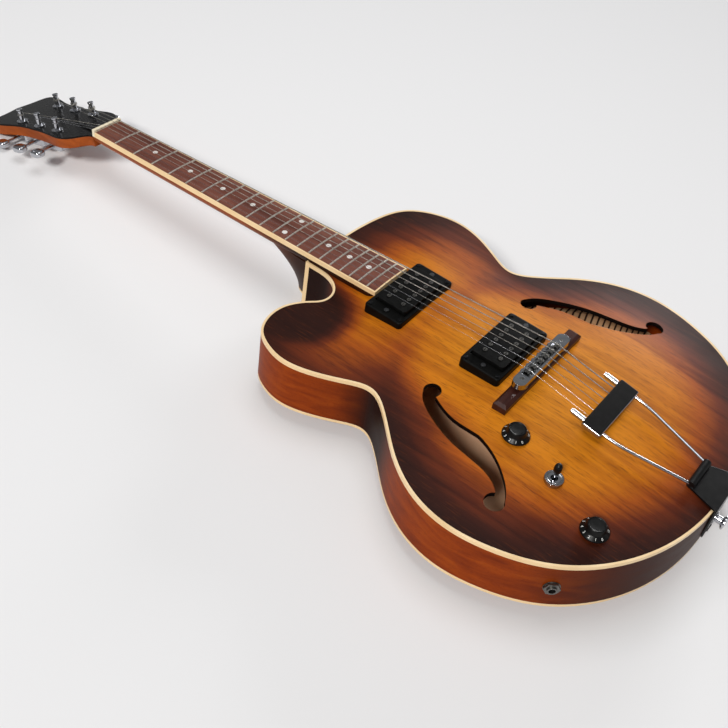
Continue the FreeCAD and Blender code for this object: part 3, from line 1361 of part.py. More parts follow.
def toggle_switch():
    lowest = 2 * top_height(toggle_spot.x, toggle_spot.y) - highest_under(toggle_spot, s.switch_length / 2)
    roof = lowest - s.plate_wall - s.seat_gap
    half = Vector(s.switch_length / 2, s.switch_width / 2, 0)
    case = block(Vector(toggle_spot.x - half.x, toggle_spot.y - half.y, roof - s.switch_height),
                 Vector(toggle_spot.x + half.x, toggle_spot.y + half.y, roof))
    bushing = Part.makeCylinder(s.toggle_bushing_radius, toggle_level + s.toggle_nut_height - roof,
                                Vector(toggle_spot.x, toggle_spot.y, roof))
    collar = seated_nut(toggle_spot, s.toggle_nut_radius, toggle_level + s.toggle_nut_height)
    bore = Part.makeCylinder(s.toggle_bore, s.rim_depth, toggle_pivot - Z_AXIS * (s.toggle_bore + s.seat_gap))
    return case.fuse([bushing, collar]).removeSplitter().cut(bore)


free_form("toggle_switch", toggle_switch())
lever_foot = "-Sizes.toggle_bore + Sizes.seat_gap"
lever = turned("toggle_stick", Placement(toggle_pivot, Rotation()), [
    ("0", lever_foot), ("Sizes.lever_radius", lever_foot),
    ("Sizes.lever_radius", "Sizes.lever_length"), ("0", "Sizes.lever_length")])
pin_place = Placement(toggle_pivot - X_AXIS * (s.pivot_pin_length / 2), Rotation(Y_AXIS, quarter_turn))
pin = bound("Part::Cylinder", "pivot_pin", pin_place,
            Radius="Sizes.pivot_pin_radius", Height="Sizes.pivot_pin_length")
pinned_lever = doc.addObject("Part::Fuse", "pinned_lever")
pinned_lever.Base = lever
pinned_lever.Tool = pin
tip = turned("toggle_tip", Placement(toggle_pivot, Rotation()), [
    ("0", "Sizes.lever_length"), ("Sizes.tip_neck", "Sizes.lever_length"),
    ("Sizes.tip_radius", f"Sizes.lever_length + Sizes.tip_length * {tip_wide_share}"),
    ("Sizes.tip_radius - Sizes.running_fit", f"Sizes.lever_length + Sizes.tip_length * {tip_shoulder_share}"),
    ("Sizes.tip_radius / 2", "Sizes.lever_length + Sizes.tip_length"),
    ("0", "Sizes.lever_length + Sizes.tip_length")])
grouped("toggle_lever", [pinned_lever, tip])

# Output jack through the side, its mouth outward
grouped("output_jack", [turned("jack_sleeve", along(jack_spot, jack_out), [
    ("Sizes.jack_bore", "Sizes.jack_stand"), ("Sizes.jack_bushing_radius", "Sizes.jack_stand"),
    ("Sizes.jack_bushing_radius", "Sizes.jack_washer + Sizes.jack_nut_height"),
    ("Sizes.jack_nut_radius", "Sizes.jack_washer + Sizes.jack_nut_height"),
    ("Sizes.jack_nut_radius", "Sizes.jack_washer"), ("Sizes.jack_washer_radius", "Sizes.jack_washer"),
    ("Sizes.jack_washer_radius", "0"), ("Sizes.jack_bushing_radius", "0"),
    ("Sizes.jack_bushing_radius", "-Sizes.rim_wall - Sizes.seat_gap"),
    ("Sizes.jack_body_radius", "-Sizes.rim_wall - Sizes.seat_gap"),
    ("Sizes.jack_body_radius", "-Sizes.rim_wall - Sizes.seat_gap - Sizes.jack_body_length"),
    ("0", "-Sizes.rim_wall - Sizes.seat_gap - Sizes.jack_body_length"),
    ("0", "-Sizes.rim_wall - Sizes.seat_gap - Sizes.jack_body_length + Sizes.jack_wall"),
    ("Sizes.jack_bore", "-Sizes.rim_wall - Sizes.seat_gap - Sizes.jack_body_length + Sizes.jack_wall")])])

# Check every object, then write one file per sub-part
doc.recompute()
for item in doc.Objects:
    if "Invalid" in item.State or "Error" in item.State:
        raise RuntimeError(f"{item.Label} failed: {item.State}")
os.makedirs("parts", exist_ok=True)
for label, piece in sorted(nodes.items()):
    if piece.Shape.isNull() or not piece.Shape.isValid() or not piece.Shape.Solids:
        raise RuntimeError(f"{label} has no valid solid")
for label, piece in sorted(nodes.items()):
    piece.Shape.exportStep(os.path.join("parts", f"{label}.step"))
print(f"{len(nodes)} sub-parts written")
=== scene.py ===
import json

import bpy
import numpy as np
from mathutils import Matrix, Vector


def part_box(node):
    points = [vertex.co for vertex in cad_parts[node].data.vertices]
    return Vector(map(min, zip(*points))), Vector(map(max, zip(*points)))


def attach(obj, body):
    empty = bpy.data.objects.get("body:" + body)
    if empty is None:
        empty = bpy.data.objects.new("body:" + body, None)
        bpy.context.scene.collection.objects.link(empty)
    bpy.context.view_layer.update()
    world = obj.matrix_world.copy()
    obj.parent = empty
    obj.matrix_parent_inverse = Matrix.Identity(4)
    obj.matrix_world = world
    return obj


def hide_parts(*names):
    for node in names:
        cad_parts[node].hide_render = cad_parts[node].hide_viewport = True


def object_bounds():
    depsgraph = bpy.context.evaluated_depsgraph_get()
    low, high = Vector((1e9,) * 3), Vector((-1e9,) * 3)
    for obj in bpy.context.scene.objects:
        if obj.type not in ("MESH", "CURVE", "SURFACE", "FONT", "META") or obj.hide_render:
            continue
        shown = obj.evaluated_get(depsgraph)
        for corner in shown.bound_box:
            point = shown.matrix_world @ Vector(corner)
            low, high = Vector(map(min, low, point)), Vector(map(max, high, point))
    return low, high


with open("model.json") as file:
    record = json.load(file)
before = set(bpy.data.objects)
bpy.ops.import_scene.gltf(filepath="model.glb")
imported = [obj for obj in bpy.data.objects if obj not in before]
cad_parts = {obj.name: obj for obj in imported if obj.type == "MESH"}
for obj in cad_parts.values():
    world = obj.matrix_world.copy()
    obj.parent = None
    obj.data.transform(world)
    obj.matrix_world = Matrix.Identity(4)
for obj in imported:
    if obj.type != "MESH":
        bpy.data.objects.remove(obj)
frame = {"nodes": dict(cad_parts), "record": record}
cad_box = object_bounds()
nodes = frame["nodes"]
record = frame["record"]


# Sides and back: thin maple ply, bent and pressed, stained orange-brown under satin lacquer.
# The stain is warm along the horn; painted shade darkens it into the waist, on faces turned to the
# tail and in the cutaway.
# The tools that write a finish as sums on its shader sockets stand here, where they are first used.
class Value:
    """A shader socket, joined by Python's operators with Math nodes."""

    def __init__(self, finish, socket):
        self.finish = finish
        self.socket = socket

    def __add__(self, other):
        return self.finish.maths("ADD", self, other)

    def __sub__(self, other):
        return self.finish.maths("SUBTRACT", self, other)

    def __rsub__(self, other):
        return self.finish.maths("SUBTRACT", other, self)

    def __mul__(self, other):
        return self.finish.maths("MULTIPLY", self, other)

    def __truediv__(self, other):
        return self.finish.maths("DIVIDE", self, other)

    __radd__ = __add__
    __rmul__ = __mul__


class Finish:
    """One procedural material. node() adds any node: settings first, then socket values or links."""

    def __init__(self, name, roughness=0.4, metallic=0.0, coat=0.0, coat_roughness=0.1,
                 specular=0.5):
        self.material = bpy.data.materials.new(name)
        self.material.use_nodes = True
        self.tree = self.material.node_tree
        self.shader = self.tree.nodes["Principled BSDF"]
        self.shader.inputs["Roughness"].default_value = roughness
        self.shader.inputs["Metallic"].default_value = metallic
        self.shader.inputs["Coat Weight"].default_value = coat
        self.shader.inputs["Coat Roughness"].default_value = coat_roughness
        self.shader.inputs["Specular IOR Level"].default_value = specular

    def node(self, kind, settings=None, sockets=None, out=0):
        made = self.tree.nodes.new(kind)
        for name, value in (settings or {}).items():
            if name == "stops":
                self.set_stops(made.color_ramp, value)
            else:
                setattr(made, name, value)
        for name, value in (sockets or {}).items():
            self.feed(made.inputs[name], value)
        return Value(self, made.outputs[out])

    def feed(self, target, value):
        if isinstance(value, Value):
            self.tree.links.new(value.socket, target)
        else:
            target.default_value = value

    def set_stops(self, ramp, stops):
        while len(ramp.elements) < len(stops):
            ramp.elements.new(1.0)
        for element, (place, colour) in zip(ramp.elements, stops):
            element.position = place
            element.color = colour

    def maths(self, operation, first, second=0.0, third=0.0):
        return self.node("ShaderNodeMath", {"operation": operation},
                         {0: first, 1: second, 2: third})

    def step(self, value, low, high):
        """Smooth step from 0 at low to 1 at high."""
        return self.node("ShaderNodeMapRange", {"interpolation_type": "SMOOTHSTEP"},
                         {"Value": value, "From Min": low, "From Max": high})

    def place(self):
        """Position on the piece in metres."""
        return self.node("ShaderNodeTexCoord", out="Object")

    def facing(self):
        """The way that the surface faces, as three numbers."""
        return self.parts(self.node("ShaderNodeNewGeometry", out="Normal"))

    def parts(self, vector):
        split = self.node("ShaderNodeSeparateXYZ", None, {"Vector": vector})
        return [Value(self, split.socket.node.outputs[axis]) for axis in ("X", "Y", "Z")]

    def stretched(self, vector, scale):
        return self.node("ShaderNodeVectorMath", {"operation": "MULTIPLY"}, {0: vector, 1: scale})

    def noise(self, vector, scale, detail=3.0, roughness=0.55, distortion=0.0):
        return self.node("ShaderNodeTexNoise", None,
                         {"Vector": vector, "Scale": scale, "Detail": detail,
                          "Roughness": roughness, "Distortion": distortion})

    def blend(self, factor, first, second, mode="MIX"):
        """Two colours mixed by a factor."""
        return self.node("ShaderNodeMix", {"data_type": "RGBA", "blend_type": mode},
                         {0: factor, 6: first, 7: second}, out=2)

    def ramp(self, factor, stops):
        return self.node("ShaderNodeValToRGB", {"stops": stops}, {"Fac": factor})

    def colour(self, value):
        self.feed(self.shader.inputs["Base Color"], value)

    def rough(self, value):
        self.feed(self.shader.inputs["Roughness"], value)

    def relief(self, height, strength, depth, edge=0.0):
        """Bump from a height, on edges softened by a small radius."""
        sockets = {"Height": height, "Strength": strength, "Distance": depth}
        if edge:
            sockets["Normal"] = self.node("ShaderNodeBevel", {"samples": 4}, {"Radius": edge})
        self.feed(self.shader.inputs["Normal"], self.node("ShaderNodeBump", None, sockets))

    def dress(self, *names):
        for name in names:
            nodes[name].data.materials.clear()
            nodes[name].data.materials.append(self.material)


def paint(red, green, blue):
    """Linear colour from the eight-bit values that it shows as."""
    shown = np.array([red, green, blue]) / 255
    linear = np.where(shown <= 0.04045, shown / 12.92, ((shown + 0.055) / 1.055) ** 2.4)
    return tuple(float(value) for value in linear) + (1.0,)


def grain(finish, along=(1.0, 0.06, 1.0), scale=260.0):
    """Fine pores and broad streaks: noise stretched along the wood by the smallest factor."""
    place = finish.stretched(finish.place(), along)
    pores = finish.noise(place, scale * 6, detail=2.0)
    streaks = finish.noise(place, scale * 0.35, detail=5.0, distortion=0.6)
    return pores, streaks


side_stain = Finish("stained_sides", roughness=0.45, specular=0.05)
pores, streaks = grain(side_stain, along=(0.2, 0.2, 1.0))
across, along_body, upward = side_stain.parts(side_stain.place())
_, tailward, skyward = side_stain.facing()
waist_y = 0.305
waist_dark = 0.012
waist_fade = 0.062
cut_start_y = 0.425
cut_full_y = 0.465
cut_start_x = -0.135
cut_full_x = -0.095
inside_floor = -0.024
inside_fade = 0.004
# Painted shade: the sides go to this dark brown at the waist, on faces turned to the tail and in the
# cutaway.
painted_shade_brown = paint(30, 10, 5)
warm = side_stain.ramp(streaks, [
    (0.25, paint(108, 38, 7)), (0.52, paint(136, 54, 9)), (0.78, paint(156, 70, 13))])
from_waist = side_stain.maths("ABSOLUTE", along_body - waist_y)
painted_waist_shade = 1.0 - side_stain.step(from_waist, waist_dark, waist_fade)
painted_tail_shade = side_stain.step(0.0 - tailward, 0.3, 0.95)
cut_along = side_stain.step(along_body, cut_start_y, cut_full_y)
painted_cutaway_shade = cut_along * side_stain.step(across, cut_start_x, cut_full_x)
on_side = 1.0 - side_stain.step(side_stain.maths("ABSOLUTE", skyward), 0.5, 0.8)
darkest_painted_shade = side_stain.maths("MAXIMUM", painted_waist_shade, painted_cutaway_shade) * on_side
painted_side_shade = side_stain.maths("MAXIMUM", darkest_painted_shade, painted_tail_shade * 0.9)
stained_and_shaded = side_stain.blend(painted_side_shade, warm, painted_shade_brown)
pored = side_stain.blend(side_stain.step(pores, 0.56, 0.72) * 0.4, stained_and_shaded, paint(58, 24, 10))
inside_tone = side_stain.ramp(streaks, [(0.3, paint(222, 172, 134)), (0.7, paint(240, 198, 162))])
below_rim = 1.0 - side_stain.step(upward, inside_floor, inside_floor + inside_fade)
faces_in = side_stain.step(skyward, 0.35, 0.6) * below_rim
side_stain.colour(side_stain.blend(faces_in, pored, inside_tone))
side_stain.rough(0.34 + streaks * 0.14)
side_stain.relief(pores, 0.12, 0.0003)
side_stain.dress("rim", "back_plate")


# Inside wood: bare spruce blocks and bars, and linings sawn half through so that they bend.
# They are glued in before the plates go on, and show only through the sound holes.
bare_wood = Finish("bare_wood", roughness=0.7, specular=0.3)
pores, streaks = grain(bare_wood)
bare_tones = [(0.3, paint(196, 158, 118)), (0.7, paint(222, 188, 148))]
bare_wood.colour(bare_wood.ramp(streaks, bare_tones))
bare_wood.relief(pores, 0.2, 0.0003)
bare_wood.dress("neck_block", "tail_block", "tone_bars")
saw_pitch = 0.0065
kerfed_wood = Finish("kerfed_wood", roughness=0.7, specular=0.3)
_, streaks = grain(kerfed_wood)
_, along_body, _ = kerfed_wood.parts(kerfed_wood.place())
sawn = kerfed_wood.step(kerfed_wood.maths("FRACT", along_body / saw_pitch), 0.66, 0.74)
lining_tone = kerfed_wood.ramp(streaks, [(0.3, paint(190, 150, 112)), (0.7, paint(216, 180, 140))])
# The saw cuts are coloured dark brown: painted shade in each cut.
kerfed_wood.colour(kerfed_wood.blend(sawn, lining_tone, paint(52, 30, 18)))
kerfed_wood.relief(1.0 - sawn, 0.8, 0.002)
kerfed_wood.dress("top_lining", "back_lining")


# Top: arched maple ply with a satin tobacco burst, sprayed from the edge inwards and worn thin.
# Three ovals, one for each bout and one for the waist, hold the amber.
# The cutaway pulls the dark edge in.
top_burst = Finish("tobacco_burst", roughness=0.4, specular=0.12)
place = top_burst.place()
across, along_body, _ = top_burst.parts(place)
low_corner, high_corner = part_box("top_plate")
body_length = high_corner.y - low_corner.y
half_width = high_corner.x


def oval_reach(centre_share, width_share, length_share):
    """Distance from an oval's centre as a share of its edge's: the root of two squared shares."""
    sideways = across / (width_share * half_width)
    centre_y = low_corner.y + centre_share * body_length
    lengthways = (along_body - centre_y) / (length_share * body_length)
    return top_burst.maths("SQRT", sideways * sideways + lengthways * lengthways)


lower_reach = oval_reach(0.34, 1.0, 0.36)
waist_reach = oval_reach(0.53, 0.72, 0.25)
upper_reach = 0.42 + 0.5 * oval_reach(0.77, 0.86, 0.21)
oval_blend = 0.12
bouts_reach = top_burst.maths("SMOOTH_MIN", lower_reach, upper_reach, oval_blend)
reach = top_burst.maths("SMOOTH_MIN", bouts_reach, waist_reach, oval_blend)
cut_radius = 0.045
cut_fade = 0.08
cut_centre = (-0.095, 0.455)
cut_x = across - cut_centre[0]
cut_y = along_body - cut_centre[1]
from_cut = top_burst.maths("SQRT", cut_x * cut_x + cut_y * cut_y)
near_cut = 1.0 - (from_cut - cut_radius) / cut_fade
reach = top_burst.maths("SMOOTH_MAX", reach, near_cut, oval_blend)
pores, streaks = grain(top_burst, along=(1.0, 0.05, 0.3), scale=200.0)
fleck_place = top_burst.stretched(place, (1.0, 0.09, 0.3))
flecks = top_burst.noise(fleck_place, 520.0, detail=3.0, distortion=0.3)
cloud = top_burst.noise(place, 8.0, detail=2.0)
spread = reach + (streaks - 0.5) * 0.12 + (cloud - 0.5) * 0.10 + (flecks - 0.5) * 0.05
burst = top_burst.ramp(spread, [
    (0.25, paint(206, 128, 20)), (0.56, paint(196, 114, 14)), (0.70, paint(160, 78, 16)),
    (0.80, paint(102, 42, 16)), (0.90, paint(58, 22, 11)), (0.98, paint(42, 16, 9))])
streak_share = top_burst.step(streaks, 0.35, 0.75) * 0.42
streaked = top_burst.blend(streak_share, burst, paint(132, 70, 18), "MULTIPLY")
flecked = top_burst.blend(top_burst.step(flecks, 0.54, 0.72) * 0.40, streaked, paint(92, 42, 12))
pored = top_burst.blend(top_burst.step(pores, 0.57, 0.70) * 0.45, flecked, paint(48, 22, 10))
_, _, skyward = top_burst.facing()
hole_wall = 1.0 - top_burst.step(top_burst.maths("ABSOLUTE", skyward), 0.3, 0.6)
underside = 1.0 - top_burst.step(skyward, -0.6, -0.3)
edged = top_burst.blend(hole_wall, pored, paint(16, 9, 7))
bare_under = top_burst.ramp(streaks, bare_tones)
top_burst.colour(top_burst.blend(underside, edged, bare_under))
top_burst.rough(0.40 + streaks * 0.16)
top_burst.relief(pores, 0.16, 0.0003)
top_burst.dress("top_plate")


# Bindings: cream plastic strips on both body edges, the board, the cutaway and the heel.
# They are glued into rebates and scraped flush, and painted shade darkens them to a golden tan on
# faces that tilt away from the sky.
cream = Finish("cream_binding", roughness=0.3, coat=0.15, coat_roughness=0.15, specular=0.4)
age = cream.noise(cream.place(), 30.0, detail=3.0)
_, _, skyward = cream.facing()
cream_tone = cream.ramp(age, [(0.3, paint(232, 200, 152)), (0.7, paint(246, 220, 178))])
# Painted shade: faces that turn sideways or down are mixed towards a darker golden tan.
binding_side_shade = (1.0 - cream.step(skyward, 0.0, 1.0)) * 0.35
cream.colour(cream.blend(binding_side_shade, cream_tone, paint(226, 184, 120)))
cream.rough(0.26 + age * 0.12)
cream.relief(age, 0.05, 0.0004, edge=0.0004)
cream.dress("top_binding", "back_binding", "corner_binding", "fingerboard_binding", "heel_cap")


# Neck: one piece of brown-stained wood, carved with its heel and headstock and set into the body.
# Painted shade darkens it to near black towards the heel.
neck_stain = Finish("stained_neck", roughness=0.45, specular=0.12)
pores, streaks = grain(neck_stain)
_, along_neck, _ = neck_stain.parts(neck_stain.place())
neck_tone = neck_stain.ramp(streaks, [(0.25, paint(122, 54, 18)), (0.6, paint(160, 78, 28)),
                                      (0.85, paint(178, 96, 40))])
# Painted shade: the neck goes near black towards the heel.
painted_heel_shade = 1.0 - neck_stain.step(along_neck, 0.50, 0.62)
neck_shaded = neck_stain.blend(painted_heel_shade * 0.95, neck_tone, paint(26, 11, 7))
neck_pores = neck_stain.step(pores, 0.56, 0.72) * 0.35
neck_stain.colour(neck_stain.blend(neck_pores, neck_shaded, paint(50, 22, 10)))
neck_stain.rough(0.34 + streaks * 0.15)
neck_stain.relief(pores, 0.12, 0.0003, edge=0.0012)
neck_stain.dress("neck")


# Headstock face, truss rod and its cover: black veneer, a nickelled steel rod and a black sheet.
# The veneer is glued on and the sheet screwed over the rod's nut, both under a hazy gloss lacquer.
gloss_black = Finish("gloss_black", roughness=0.25, specular=0.12)
haze_place = gloss_black.stretched(gloss_black.place(), (1.0, 0.2, 1.0))
haze = gloss_black.noise(haze_place, 160.0, detail=5.0)
gloss_black.colour(gloss_black.ramp(haze, [(0.3, paint(6, 6, 6)), (0.7, paint(13, 12, 12))]))
gloss_black.rough(0.18 + haze * 0.14)
gloss_black.relief(haze, 0.03, 0.0003, edge=0.0006)
gloss_black.dress("headstock_face", "truss_rod_cover")


def polished(name, tint, roughness, wear=0.08):
    """Bright metal whose tint and polish vary with a fine smear."""
    metal = Finish(name, roughness=roughness, metallic=1.0)
    smear = metal.noise(metal.place(), 120.0, detail=4.0)
    dark = tuple(value * 0.82 for value in tint[:3]) + (1.0,)
    metal.colour(metal.ramp(smear, [(0.3, dark), (0.7, tint)]))
    metal.rough(roughness + smear * wear)
    metal.relief(smear, 0.02, 0.0002, edge=0.0004)
    return metal


nickel = polished("dull_nickel", paint(120, 118, 114), 0.34)
nickel.dress("truss_rod")


# Fingerboard: oiled red-brown hardwood, glued to the neck and planed to a slight crown.
# Its pores are left open and dark, and paler streaks run along it.
board = Finish("oiled_board", roughness=0.6, specular=0.2)
pores, streaks = grain(board, along=(1.0, 0.04, 1.0), scale=320.0)
tone = board.ramp(streaks, [
    (0.25, paint(78, 40, 32)), (0.5, paint(112, 66, 54)), (0.8, paint(136, 86, 70))])
board.colour(board.blend(board.step(pores, 0.55, 0.68) * 0.6, tone, paint(46, 24, 20)))
board.rough(0.52 + pores * 0.2)
board.relief(pores, 0.35, 0.0003)
board.dress("fingerboard")


# Frets, position dots and nut: nickel-silver wire hammered into slots, pearl discs, a bone strip.
# The dots are let in flush, and the nut is glued across the end of the board.
fret_metal = polished("fret_metal", paint(228, 222, 212), 0.42)
fret_metal.dress("frets")
pearl = Finish("pearl_dot", roughness=0.2, coat=0.5)
swirl = pearl.noise(pearl.place(), 500.0, detail=3.0, distortion=2.0)
pearl.colour(pearl.ramp(swirl, [
    (0.3, paint(196, 200, 196)), (0.5, paint(236, 232, 226)), (0.7, paint(214, 206, 212))]))
pearl.rough(0.16 + swirl * 0.1)
pearl.dress("position_dots")
bone = Finish("bone_nut", roughness=0.35)
flecks = bone.noise(bone.place(), 300.0, detail=3.0)
bone.colour(bone.ramp(flecks, [(0.3, paint(222, 208, 176)), (0.7, paint(238, 228, 204))]))
bone.relief(flecks, 0.05, 0.0002, edge=0.0005)
bone.dress("nut")


# Tuners: chromed gear cases, bushings and posts, with a rounded metal grip on each worm shaft.
# Each case is screwed to the back of the headstock and its bushing pressed in from the front.
chrome = polished("chrome_plate", paint(196, 197, 202), 0.09)
chrome.dress("tuner_housings", "tuner_bushings")
string_count = 6
for number in range(1, string_count + 1):
    chrome.dress(f"tuner_post_{number}", f"tuner_button_{number}")


# Pickups: coils under closed black covers, each in a black ring that is screwed to the arched top.
# Twelve slotted poles stand through each cover, and a screw at each end sets its height.
# The small black screws that hold the rings and the guitar's other plates are one group.
black_plastic = Finish("black_plastic", roughness=0.36, specular=0.08)
haze = black_plastic.noise(black_plastic.place(), 220.0, detail=5.0)
black_plastic.colour(black_plastic.ramp(haze, [(0.3, paint(6, 6, 6)), (0.7, paint(14, 14, 13))]))
black_plastic.rough(0.30 + haze * 0.2)
black_plastic.relief(haze, 0.05, 0.0003, edge=0.0008)
black_plastic.dress("pickup_rings", "pickup_covers")
pole_steel = polished("pole_steel", paint(104, 102, 98), 0.36)
pole_steel.dress("pole_screws")
screw_steel = polished("screw_steel", paint(92, 92, 94), 0.3)
screw_steel.dress("adjusting_screws")
screw_black = polished("screw_black", paint(40, 40, 42), 0.35)
screw_black.dress("fixing_screws")


def add_piece(name, points, faces, finish, body, slot, replaced=(), sharp=40.0):
    """Mesh piece from arrays of points and faces, smooth but for edges past the sharp angle."""
    mesh = bpy.data.meshes.new(name)
    mesh.from_pydata(np.reshape(points, (-1, 3)).tolist(), [], faces)
    mesh.shade_smooth()
    mesh.set_sharp_from_angle(angle=np.radians(sharp))
    mesh.materials.append(finish.material)
    made = bpy.data.objects.new(name, mesh)
    bpy.context.scene.collection.objects.link(made)
    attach(made, body)
    if replaced:
        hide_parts(*replaced)
    return made


def bars(centres, size):
    """Small upright blocks: the corners of a unit cube times the size, moved to each centre."""
    ends = (-0.5, 0.5)
    corners = np.array([(x, y, z) for z in ends for y in ends for x in ends]) * size
    sides = np.array([(0, 2, 3, 1), (4, 5, 7, 6), (0, 1, 5, 4),
                      (2, 6, 7, 3), (0, 4, 6, 2), (1, 3, 7, 5)])
    points = np.asarray(centres)[:, None] + corners[None]
    faces = sides[None] + 8 * np.arange(len(points))[:, None, None]
    return points, faces.reshape(-1, 4).tolist()


pole_half_spread = 0.025
pole_half_row = 0.00925
cover_half_width = 0.019
pickup_step = 0.0055
slot_depth = 0.0005
slot_sunk = 0.0002
slot_size = (0.0038, 0.0008, slot_depth)
low_corner, high_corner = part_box("pickup_covers")
pole_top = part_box("pole_screws")[1].z
pickups = [(low_corner.y + cover_half_width, pole_top),
           (high_corner.y - cover_half_width, pole_top - pickup_step)]
pole_shares = np.linspace(-1, 1, string_count)
slots = [(share * pole_half_spread, y + row * pole_half_row, top - slot_sunk)
         for y, top in pickups for row in (-1, 1) for share in pole_shares]
# The pole slots are dark bars at the pole tops: painted shade standing in for the shadow in each
# slot.
slot_dark = Finish("slot_dark", roughness=0.7, specular=0.2)
slot_shade_mottle = slot_dark.noise(slot_dark.place(), 900.0)
slot_dark.colour(slot_dark.ramp(slot_shade_mottle, [(0.3, paint(10, 10, 10)), (0.7, paint(26, 24, 22))]))
add_piece("pole_slots", *bars(slots, slot_size), slot_dark, "guitar", "pole_metal")


# Bridge: a dark hardwood base fitted to the arch, two studs with knurled wheels, and a chromed bar.
# Six small saddles sit in the bar's channel; only the strings' pull holds the bridge down.
bridge_wood = Finish("dark_bridge_wood", roughness=0.28, specular=0.25)
pores, streaks = grain(bridge_wood, along=(0.06, 1.0, 1.0))
bridge_wood.colour(bridge_wood.ramp(streaks, [(0.3, paint(34, 16, 13)), (0.75, paint(72, 36, 28))]))
bridge_wood.rough(0.24 + pores * 0.12)
bridge_wood.relief(pores, 0.15, 0.0003, edge=0.0006)
bridge_wood.dress("bridge_base")
bridge_chrome = polished("bridge_chrome", paint(184, 186, 190), 0.12, wear=0.12)
bridge_chrome.dress("bridge_body")
saddle_steel = polished("saddle_steel", paint(128, 127, 124), 0.24)
saddle_steel.dress("bridge_saddles", "bridge_studs")


def grid_faces(grid, wrapped=False):
    """Quads of a grid whose columns close into rings. Both ends are capped unless rows wrap too."""
    rows, columns = grid.shape[:2]
    index = np.arange(rows * columns).reshape(rows, columns)
    loop = np.vstack([index, index[:1]]) if wrapped else index
    beside = np.roll(loop, -1, axis=1)
    quads = np.stack([loop[:-1], beside[:-1], beside[1:], loop[1:]], axis=-1)
    caps = [] if wrapped else [index[0][::-1].tolist(), index[-1].tolist()]
    return quads.reshape(-1, 4).tolist() + caps


flute_start_share = 0.8
flute_fade_share = 0.15


def lathe(profile, count, centre, flutes=0, depth=0.0):
    """Turned grid: each profile radius and height spun about an upright axis. Near the widest
    radius, flutes lower it by depth times half of one minus their cosine."""
    radius, height = np.array(profile).T[:, :, None]
    angle = np.arange(count) * 2 * np.pi / count
    outermost = np.clip((radius / radius.max() - flute_start_share) / flute_fade_share, 0, 1)
    rippled = radius - depth * outermost * (0.5 - 0.5 * np.cos(flutes * angle))
    upright = height * np.ones(count)
    turned = np.stack([rippled * np.cos(angle), rippled * np.sin(angle), upright], axis=-1)
    return turned + np.array(centre)


wheel_chrome = polished("wheel_chrome", paint(160, 161, 164), 0.18)
wheel_bore = 0.00206
wheel_bevel = 0.0007
wheel_bevel_height = 0.0005
for side in ("treble", "bass"):
    low_corner, high_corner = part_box(f"thumbwheel_{side}")
    thick = high_corner.z - low_corner.z
    wide = (high_corner.x - low_corner.x) / 2
    centre = ((low_corner.x + high_corner.x) / 2, (low_corner.y + high_corner.y) / 2, low_corner.z)
    wheel_profile = [(wheel_bore, 0), (wide - wheel_bevel, 0), (wide, wheel_bevel_height),
                     (wide, thick - wheel_bevel_height), (wide - wheel_bevel, thick),
                     (wheel_bore, thick)]
    wheel = lathe(wheel_profile, 144, centre, flutes=48, depth=0.0004)
    add_piece(f"knurled_wheel_{side}", wheel, grid_faces(wheel, wrapped=True), wheel_chrome,
              f"wheel_{side}", "bridge_metal", [f"thumbwheel_{side}"])


# Tailpiece: a black bar, bright at its ends and rear, on two bent chrome rods in a black bracket.
# The bracket is folded over the edge and screwed to the tail with the strap button.
bar_black = Finish("bar_black", roughness=0.3, specular=0.14)
haze = bar_black.noise(bar_black.place(), 180.0, detail=5.0)
black_tone = bar_black.ramp(haze, [(0.3, paint(8, 8, 8)), (0.7, paint(17, 16, 16))])
sideways, lengthways, _ = bar_black.facing()
bright_end = bar_black.step(bar_black.maths("ABSOLUTE", sideways), 0.45, 0.75)
bright_rear = bar_black.step(0.0 - lengthways, 0.55, 0.8)
bright = bar_black.maths("MAXIMUM", bright_end, bright_rear)
bar_black.colour(bar_black.blend(bright, black_tone, paint(176, 176, 180)))
bar_black.feed(bar_black.shader.inputs["Metallic"], bright)
bar_black.rough(0.32 + haze * 0.14 - bright * 0.2)
bar_black.dress("tailpiece_bar")
black_plate = Finish("black_plate", roughness=0.24, specular=0.25)
haze = black_plate.noise(black_plate.place(), 180.0, detail=5.0)
black_plate.colour(black_plate.ramp(haze, [(0.3, paint(7, 7, 7)), (0.7, paint(15, 14, 14))]))
black_plate.rough(0.26 + haze * 0.16)
black_plate.relief(haze, 0.04, 0.0003, edge=0.0008)
black_plate.dress("tailpiece_bracket")
chrome.dress("tailpiece_rods", "strap_buttons")


# Strings: four of steel wound with nickel wire and two of plain steel, each with a brass ball.
# They run from the bar over their saddles and the nut, then turn down round their posts.
string_gauges = 0.00125 * np.array([1.0, 0.8, 0.6, 0.43, 0.34, 0.26])
string_shares = np.linspace(1, -1, string_count)
saddle_setbacks = 0.003 * np.array([1.0, 0.8, 0.6, 0.75, 0.5, 0.3])
bridge_half_spread = 0.026
nut_half_spread = 0.0175
nut_groove = 0.0012
saddle_half_length = 0.0027
saddle_gap = 0.0001
bar_depth = 0.0215
ball_radius = 0.0019
bend_radius = 0.005
post_clearance = 0.0033
wrap_rise = 0.011
turn_gap = 0.00055
quarter_turns = 9
joints = {joint["name"]: joint for joint in record["behaviour"]["joints"]}


def rounded(before, corner, after):
    """A corner eased by a parabola that touches both runs where an arc of the bend radius would."""
    arrive = (corner - before) / np.linalg.norm(corner - before)
    leave = (after - corner) / np.linalg.norm(after - corner)
    reach = bend_radius * np.tan(np.arccos(np.clip(arrive @ leave, -1, 1)) / 2)
    share = np.linspace(0, 1, 9)[:, None]
    start = (1 - share) ** 2 * (corner - arrive * reach)
    middle = 2 * share * (1 - share) * corner
    end = share ** 2 * (corner + leave * reach)
    return start + middle + end


